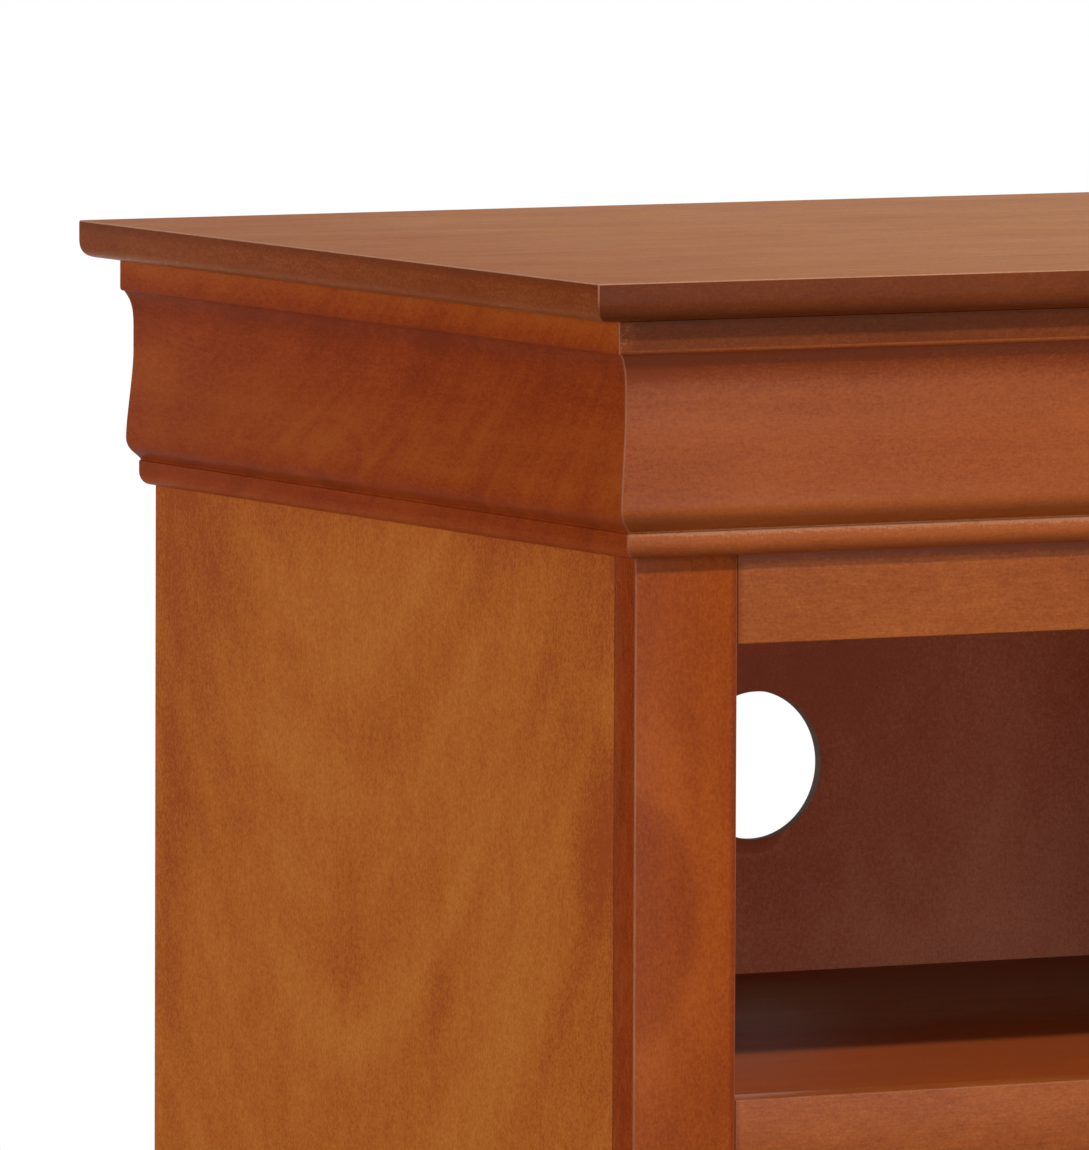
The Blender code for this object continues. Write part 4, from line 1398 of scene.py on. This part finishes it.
@dataclass
class BailPull:
    """A bail pull: a necked plate, two turned posts and the bail that hangs in them."""

    drawer: int
    side: int
    post_spacing: float = 76.0 * MM
    axis_out: float = 16.5 * MM
    plate_thickness: float = 2.2 * MM
    plate_dome: float = 1.0 * MM
    plate_radius: float = 12.5 * MM
    neck_radius: float = 4.5 * MM
    post_radius: float = 3.4 * MM
    foot_radius: float = 6.0 * MM
    knuckle_radius: float = 5.2 * MM
    pin_radius: float = 1.8 * MM
    pin_gap: float = 1.5 * MM
    grip_radius: float = 3.4 * MM
    bend: float = 6.0 * MM
    drop: float = 32.0 * MM
    bend_steps: int = 8
    grip_steps: int = 20
    turned_sides: int = 32
    smooth_degrees: float = 40.0

    @property
    def name(self) -> str:
        """The start of the names of the pull's CAD nodes and bodies."""
        return f"drawer_{self.drawer}_pull_{self.word}"

    @property
    def word(self) -> str:
        """Which side of the drawer the pull is on."""
        return "left" if self.side < 0 else "right"

    def centre(self) -> Vector:
        """The middle of the bail's pin axis, at rest."""
        return Vector(next(j for j in frame["joints"] if j["name"] == f"{self.name}_swing")["pos_m"])

    def outline(self) -> list[Point]:
        """Draw the plate's outline: a lobe round each post, and a neck between them.

        Returns:
            (x, height) round the plate.
        """
        radius, post = self.plate_radius, self.post_spacing / 2
        quarter = arc((post, 0.0), radius, 0, 125, 14)
        shoulder = quarter[-1]
        lean = (shoulder[0] - 0.5 * radius, shoulder[1] - 0.35 * radius)
        quarter += bezier(shoulder, lean, (0.55 * post, self.neck_radius), (0.25 * post, self.neck_radius), 8)
        upper = quarter + [(-x, z) for x, z in reversed(quarter)]
        return upper + [(x, -z) for x, z in reversed(upper[1:-1])]

    def post_section(self) -> list[Point]:
        """Draw a turned post's section: a foot, a stem and a round knuckle.

        Returns:
            (radius, distance out) from the foot to the tip.
        """
        foot = self.plate_thickness
        points = [(self.foot_radius, 0.5 * foot), (self.foot_radius, 1.1 * foot)]
        points += bezier(points[-1], (0.95 * self.foot_radius, 1.5 * foot), (self.post_radius, 1.4 * foot),
                         (self.post_radius, 2.2 * foot), 5)
        points.append((self.post_radius, self.axis_out - self.knuckle_radius))
        knuckle = arc((0.0, self.axis_out), self.knuckle_radius, -48, 90, 12)
        return points + knuckle[:-1] + [(0.0, knuckle[-1][1])]

    def post(self, x: float, face_y: float, z: float) -> Piece:
        """Turn one post on its axis.

        Args:
            x: The axis's place along the drawer.
            face_y: Where the drawer's face is.
            z: The axis's height.

        Returns:
            The post.
        """
        section = [(0.0, 0.5 * self.plate_thickness), *self.post_section()]
        piece = trace("post", [(x + radius, face_y - out, z) for radius, out in section])
        bpy.ops.mesh.delete(type="ONLY_FACE")
        pick("EDGE", lambda e: all(abs(v.co.x - x) < 0.001 * MM for v in e.verts))
        bpy.ops.mesh.delete(type="EDGE")
        bpy.ops.mesh.select_all(action="SELECT")
        bpy.ops.mesh.spin(steps=self.turned_sides, angle=2 * math.pi, center=(x, face_y, z), axis=(0, 1, 0))
        return close(piece, self.smooth_degrees)

    def bail_path(self) -> list[Point]:
        """Draw the bail's path: through one eye, round a bend, along the grip, and back.

        Returns:
            (x, height) along it, about its axis.
        """
        clear = self.knuckle_radius + self.pin_gap
        post = self.post_spacing / 2
        shoulder = post + clear
        half = [(post - clear, 0.0), (shoulder, 0.0)]
        for index in range(1, self.bend_steps + 1):
            angle = math.pi / 2 * index / self.bend_steps
            half.append((shoulder + self.bend * math.sin(angle), self.bend * (math.cos(angle) - 1)))
        reach = shoulder + self.bend
        for index in range(1, self.grip_steps):
            angle = math.pi / 2 * index / self.grip_steps
            half.append((reach * math.cos(angle), -self.bend - (self.drop - self.bend) * math.sin(angle)))
        return half + [(0.0, -self.drop)] + [(-x, z) for x, z in reversed(half)]

    def build(self, brass: Material) -> None:
        """Build the plate with its posts, and the bail.

        Args:
            brass: The pull's material.
        """
        centre = self.centre()
        face_y = centre.y + self.axis_out
        plate = trace(f"drawer_{self.drawer}_plate_{self.word}",
                      [(centre.x + x, face_y - STAND_OFF, centre.z + z) for x, z in self.outline()])
        push((0, STAND_OFF - self.plate_thickness, 0))
        faces_out()
        pick_edges_at(face_y - self.plate_thickness)
        round_edges(self.plate_dome, 4)
        close(plate, self.smooth_degrees)
        posts = [self.post(centre.x + end * self.post_spacing / 2, face_y, centre.z) for end in (-1, 1)]
        take(plate, *posts)
        bpy.ops.object.join()
        dress(plate, f"drawer_{self.drawer}", "brass", brass, replaces=f"{self.name}_plate")
        self.bail(centre, brass)

    def bail(self, centre: Vector, brass: Material) -> None:
        """Bend the bail from round bar, thicker along the grip.

        Args:
            centre: The middle of its pin axis.
            brass: Its material.
        """
        deselect()
        bpy.ops.curve.primitive_nurbs_path_add(location=(0, 0, 0))
        piece = bpy.context.object
        piece.name = piece.data.name = f"drawer_{self.drawer}_handle_{self.word}"
        piece.data.splines.clear()
        path = self.bail_path()
        spline = piece.data.splines.new("POLY")
        spline.points.add(len(path) - 1)
        thin = self.pin_radius / self.grip_radius
        for point, (x, z) in zip(spline.points, path):
            point.co = (centre.x + x, centre.y, centre.z + z, 1.0)
            point.radius = thin + (1 - thin) * min(1.0, max(0.0, -z / self.drop)) ** 0.7
        piece.data.bevel_depth = self.grip_radius
        piece.data.bevel_resolution = 6
        piece.data.use_fill_caps = True
        bpy.ops.object.convert(target="MESH")
        close(piece, self.smooth_degrees)
        dress(piece, f"{self.name}_bail", "brass", brass, replaces=f"{self.name}_bail")


@dataclass
class Drawer:
    """A drawer: its front, its plain box and its two pulls."""

    number: int
    front_round: float = 1.5 * MM
    heart_step: float = 14.0 * MM

    def build(self, brass: Material) -> None:
        """Build the front and the pulls, and paint the box.

        Args:
            brass: The pulls' material.
        """
        name = f"drawer_{self.number}"
        low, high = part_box(f"{name}_front")
        piece = block(f"{name}_front_board", low, high)
        spare_slots(piece, 2)
        # The front's arrises take slot 1: rubbed, and lit by a painted highlight
        pick_edges_at(low.y)
        round_edges(self.front_round, 5, 1)
        close(piece)
        seed = 80 + 5 * self.number
        heart = (low.z + high.z) / 2 + (self.number - 2) * self.heart_step
        arches = (Arch("Z", heart, 7.0, 9.0, 34.0, 0.12), Arch("Z", heart, 6.5, 9.0, 110.0, 0.10))
        dress(piece, name, "solid_wood", SOLID.make(Grain.ACROSS, seed, *arches),
              RUBBED_LIT_ARRIS.make(Grain.ACROSS, seed), replaces=f"{name}_front")
        grains = {"side_left": Grain.DEEP, "side_right": Grain.DEEP, "back": Grain.ACROSS,
                  "bottom": Grain.ACROSS}
        for offset, (part, grain) in enumerate(grains.items(), 1):
            paint(f"{name}_{part}", PLAIN.make(grain, seed + offset))
        for side in (-1, 1):
            BailPull(self.number, side).build(brass)


@dataclass(frozen=True)
class Lamp:
    """A soft rectangular lamp: its place, what it faces, its width and height, and its watts."""

    name: str
    place: Place
    aim: Place
    size: Point
    power: float

    def hang(self) -> None:
        """Add the lamp, unseen by the camera."""
        data = bpy.data.lights.new(self.name, "AREA")
        data.shape = "RECTANGLE"
        data.size, data.size_y = self.size
        data.energy = self.power
        lamp = bpy.data.objects.new(self.name, data)
        lamp.location = self.place
        lamp.rotation_euler = (Vector(self.aim) - Vector(self.place)).to_track_quat("-Z", "Y").to_euler()
        lamp.visible_camera = False
        bpy.context.scene.collection.objects.link(lamp)


@dataclass
class Studio:
    """The camera, the lights and the pale floor."""

    place: Place = (-3.3135, -5.3467, 1.3390)
    yaw: float = 28.15
    pitch: float = 4.73
    roll: float = -0.22
    focal_px: float = 15755.5
    image_height_px: int = 1150
    sensor_mm: float = 36.0
    front_aim_z: float = 0.80
    middle_aim_z: float = 0.60
    world_strength: float = 0.11
    floor_radius: float = 40.0
    floor_fade: Point = (1.2, 3.2)
    paper_mm: float = 60.0

    def camera(self) -> None:
        """Place the camera where the photograph's lines meet it."""
        data = bpy.data.cameras.new("photo_camera")
        data.sensor_fit = "AUTO"
        data.sensor_width = self.sensor_mm
        data.lens = self.focal_px * self.sensor_mm / self.image_height_px
        data.clip_start, data.clip_end = 0.1, 100.0
        camera = bpy.data.objects.new("photo_camera", data)
        yaw, pitch, roll = (math.radians(a) for a in (self.yaw, self.pitch, self.roll))
        turn = Matrix.Rotation(-yaw, 4, "Z") @ Matrix.Rotation(math.pi / 2 - pitch, 4, "X")
        camera.matrix_world = Matrix.Translation(self.place) @ turn @ Matrix.Rotation(-roll, 4, "Z")
        bpy.context.scene.collection.objects.link(camera)
        bpy.context.scene.camera = camera

    @staticmethod
    def in_front(aim: Place, elevation: float, distance: float, x: float = 0.0) -> Place:
        """A place in front of and above an aim, at an elevation in degrees."""
        e = math.radians(elevation)
        return x, aim[1] - distance * math.cos(e), aim[2] + distance * math.sin(e)

    def lights(self) -> None:
        """Add a crisp key from the front above, and soft fills from all round."""
        front, middle = (0.0, FRONT_Y, self.front_aim_z), (0.0, 0.0, self.middle_aim_z)
        for lamp in (
            Lamp("key", self.in_front(front, 52.0, 8.0, 1.5), front, (1.2, 0.45), 470.0),
            Lamp("sky", self.in_front(front, 27.0, 4.5), front, (2.2, 0.9), 30.0),
            Lamp("front_fill", self.in_front(front, 1.0, 4.3), front, (2.6, 0.8), 35.0),
            Lamp("left_fill", (-4.0, 0.35, 1.0), middle, (2.0, 2.0), 58.0),
            Lamp("right_fill", (4.0, 0.35, 1.0), middle, (2.0, 2.0), 40.0),
            Lamp("back_fill", (0.0, 4.5, 0.9), middle, (2.6, 1.0), 55.0),
        ):
            lamp.hang()

    def world(self) -> None:
        """Light softly all round, and show white behind the chest."""
        world = bpy.data.worlds.new("studio")
        bpy.context.scene.world = world
        world.use_nodes = True
        tree = world.node_tree
        tree.nodes.clear()
        strength = add_node(tree, "ShaderNodeMapRange", {"Value": self.seen(tree)},
                            {"To Min": self.world_strength, "To Max": 1.0})
        shine = add_node(tree, "ShaderNodeBackground", {"Strength": strength.outputs["Result"]},
                         {"Color": (1, 1, 1, 1)})
        add_node(tree, "ShaderNodeOutputWorld", {"Surface": shine.outputs[0]})

    @staticmethod
    def seen(tree: Tree) -> Socket:
        """Tell the rays that see the backdrop from those that light the chest.

        Args:
            tree: The tree that asks.

        Returns:
            1 for camera, glossy and transmission rays, and 0 for the rest.
        """
        rays = add_node(tree, "ShaderNodeLightPath").outputs
        seen = rays["Is Camera Ray"]
        for kind in ("Is Glossy Ray", "Is Transmission Ray"):
            seen = add_node(tree, "ShaderNodeMath", {0: seen, 1: rays[kind]}, operation="MAXIMUM").outputs[0]
        return seen

    def floor(self) -> None:
        """Lay a pale paper floor that fades to white well away from the chest.

        Rays that have bounced off the chest find it greyer, so that it throws little light upwards.
        """
        deselect()
        bpy.ops.mesh.primitive_circle_add(vertices=96, radius=self.floor_radius, fill_type="NGON",
                                          location=(0, 0, 0))
        piece = bpy.context.object
        piece.name = "studio_floor"
        material, tree, shader = new_material("Pale studio floor")
        place = add_node(tree, "ShaderNodeTexCoord").outputs["Object"]
        reach = add_node(tree, "ShaderNodeVectorMath", {0: place}, operation="LENGTH").outputs["Value"]
        far = add_node(tree, "ShaderNodeMapRange", {"Value": reach},
                       {"From Min": self.floor_fade[0], "From Max": self.floor_fade[1]},
                       interpolation_type="SMOOTHSTEP").outputs["Result"]
        share = add_node(tree, "ShaderNodeMath", {0: far, 1: self.seen(tree)}, operation="MULTIPLY")
        paper = add_node(tree, "ShaderNodeTexNoise", {"Vector": place},
                         {"Scale": per_metre(self.paper_mm), "Detail": 3.0}).outputs["Fac"]
        tint = add_node(tree, "ShaderNodeValToRGB", {"Fac": paper},
                        stops=[(0.3, linear("efedea")), (0.7, linear("f3f2ef"))]).outputs["Color"]
        bounced = add_node(tree, "ShaderNodeLightPath").outputs["Is Diffuse Ray"]
        held = add_node(tree, "ShaderNodeMix", {0: bounced, 6: tint}, {7: linear("9c9b98")}, data_type="RGBA")
        tree.links.new(held.outputs[2], shader.inputs["Base Color"])
        shader.inputs["Roughness"].default_value = 0.9
        shader.inputs["Specular IOR Level"].default_value = 0.1
        white = add_node(tree, "ShaderNodeEmission", values={"Color": (1, 1, 1, 1), "Strength": 1.0})
        mixed = add_node(tree, "ShaderNodeMixShader", {0: share.outputs[0], 1: shader.outputs[0],
                                                       2: white.outputs[0]})
        tree.links.new(mixed.outputs[0], tree.nodes["Material Output"].inputs["Surface"])
        piece.data.materials.append(material)

    def build(self) -> None:
        """Set the studio up."""
        bpy.context.scene.view_settings.view_transform = "Standard"
        self.camera()
        self.lights()
        self.world()
        self.floor()


def main() -> None:
    """Build the studio and the chest."""
    logging.basicConfig(level=logging.INFO, format="%(name)s: %(message)s")
    Studio().build()
    Top().build()
    Frieze().build()
    Case().build()
    Plinth().build()
    BackScrews().build(AgedBrass("Brass-plated screws", "a8895a", "806848", 2.0, 0.5).make())
    brass = AgedBrass().make()
    for number in (1, 2, 3):
        Drawer(number).build(brass)


if __name__ == "__main__":
    main()
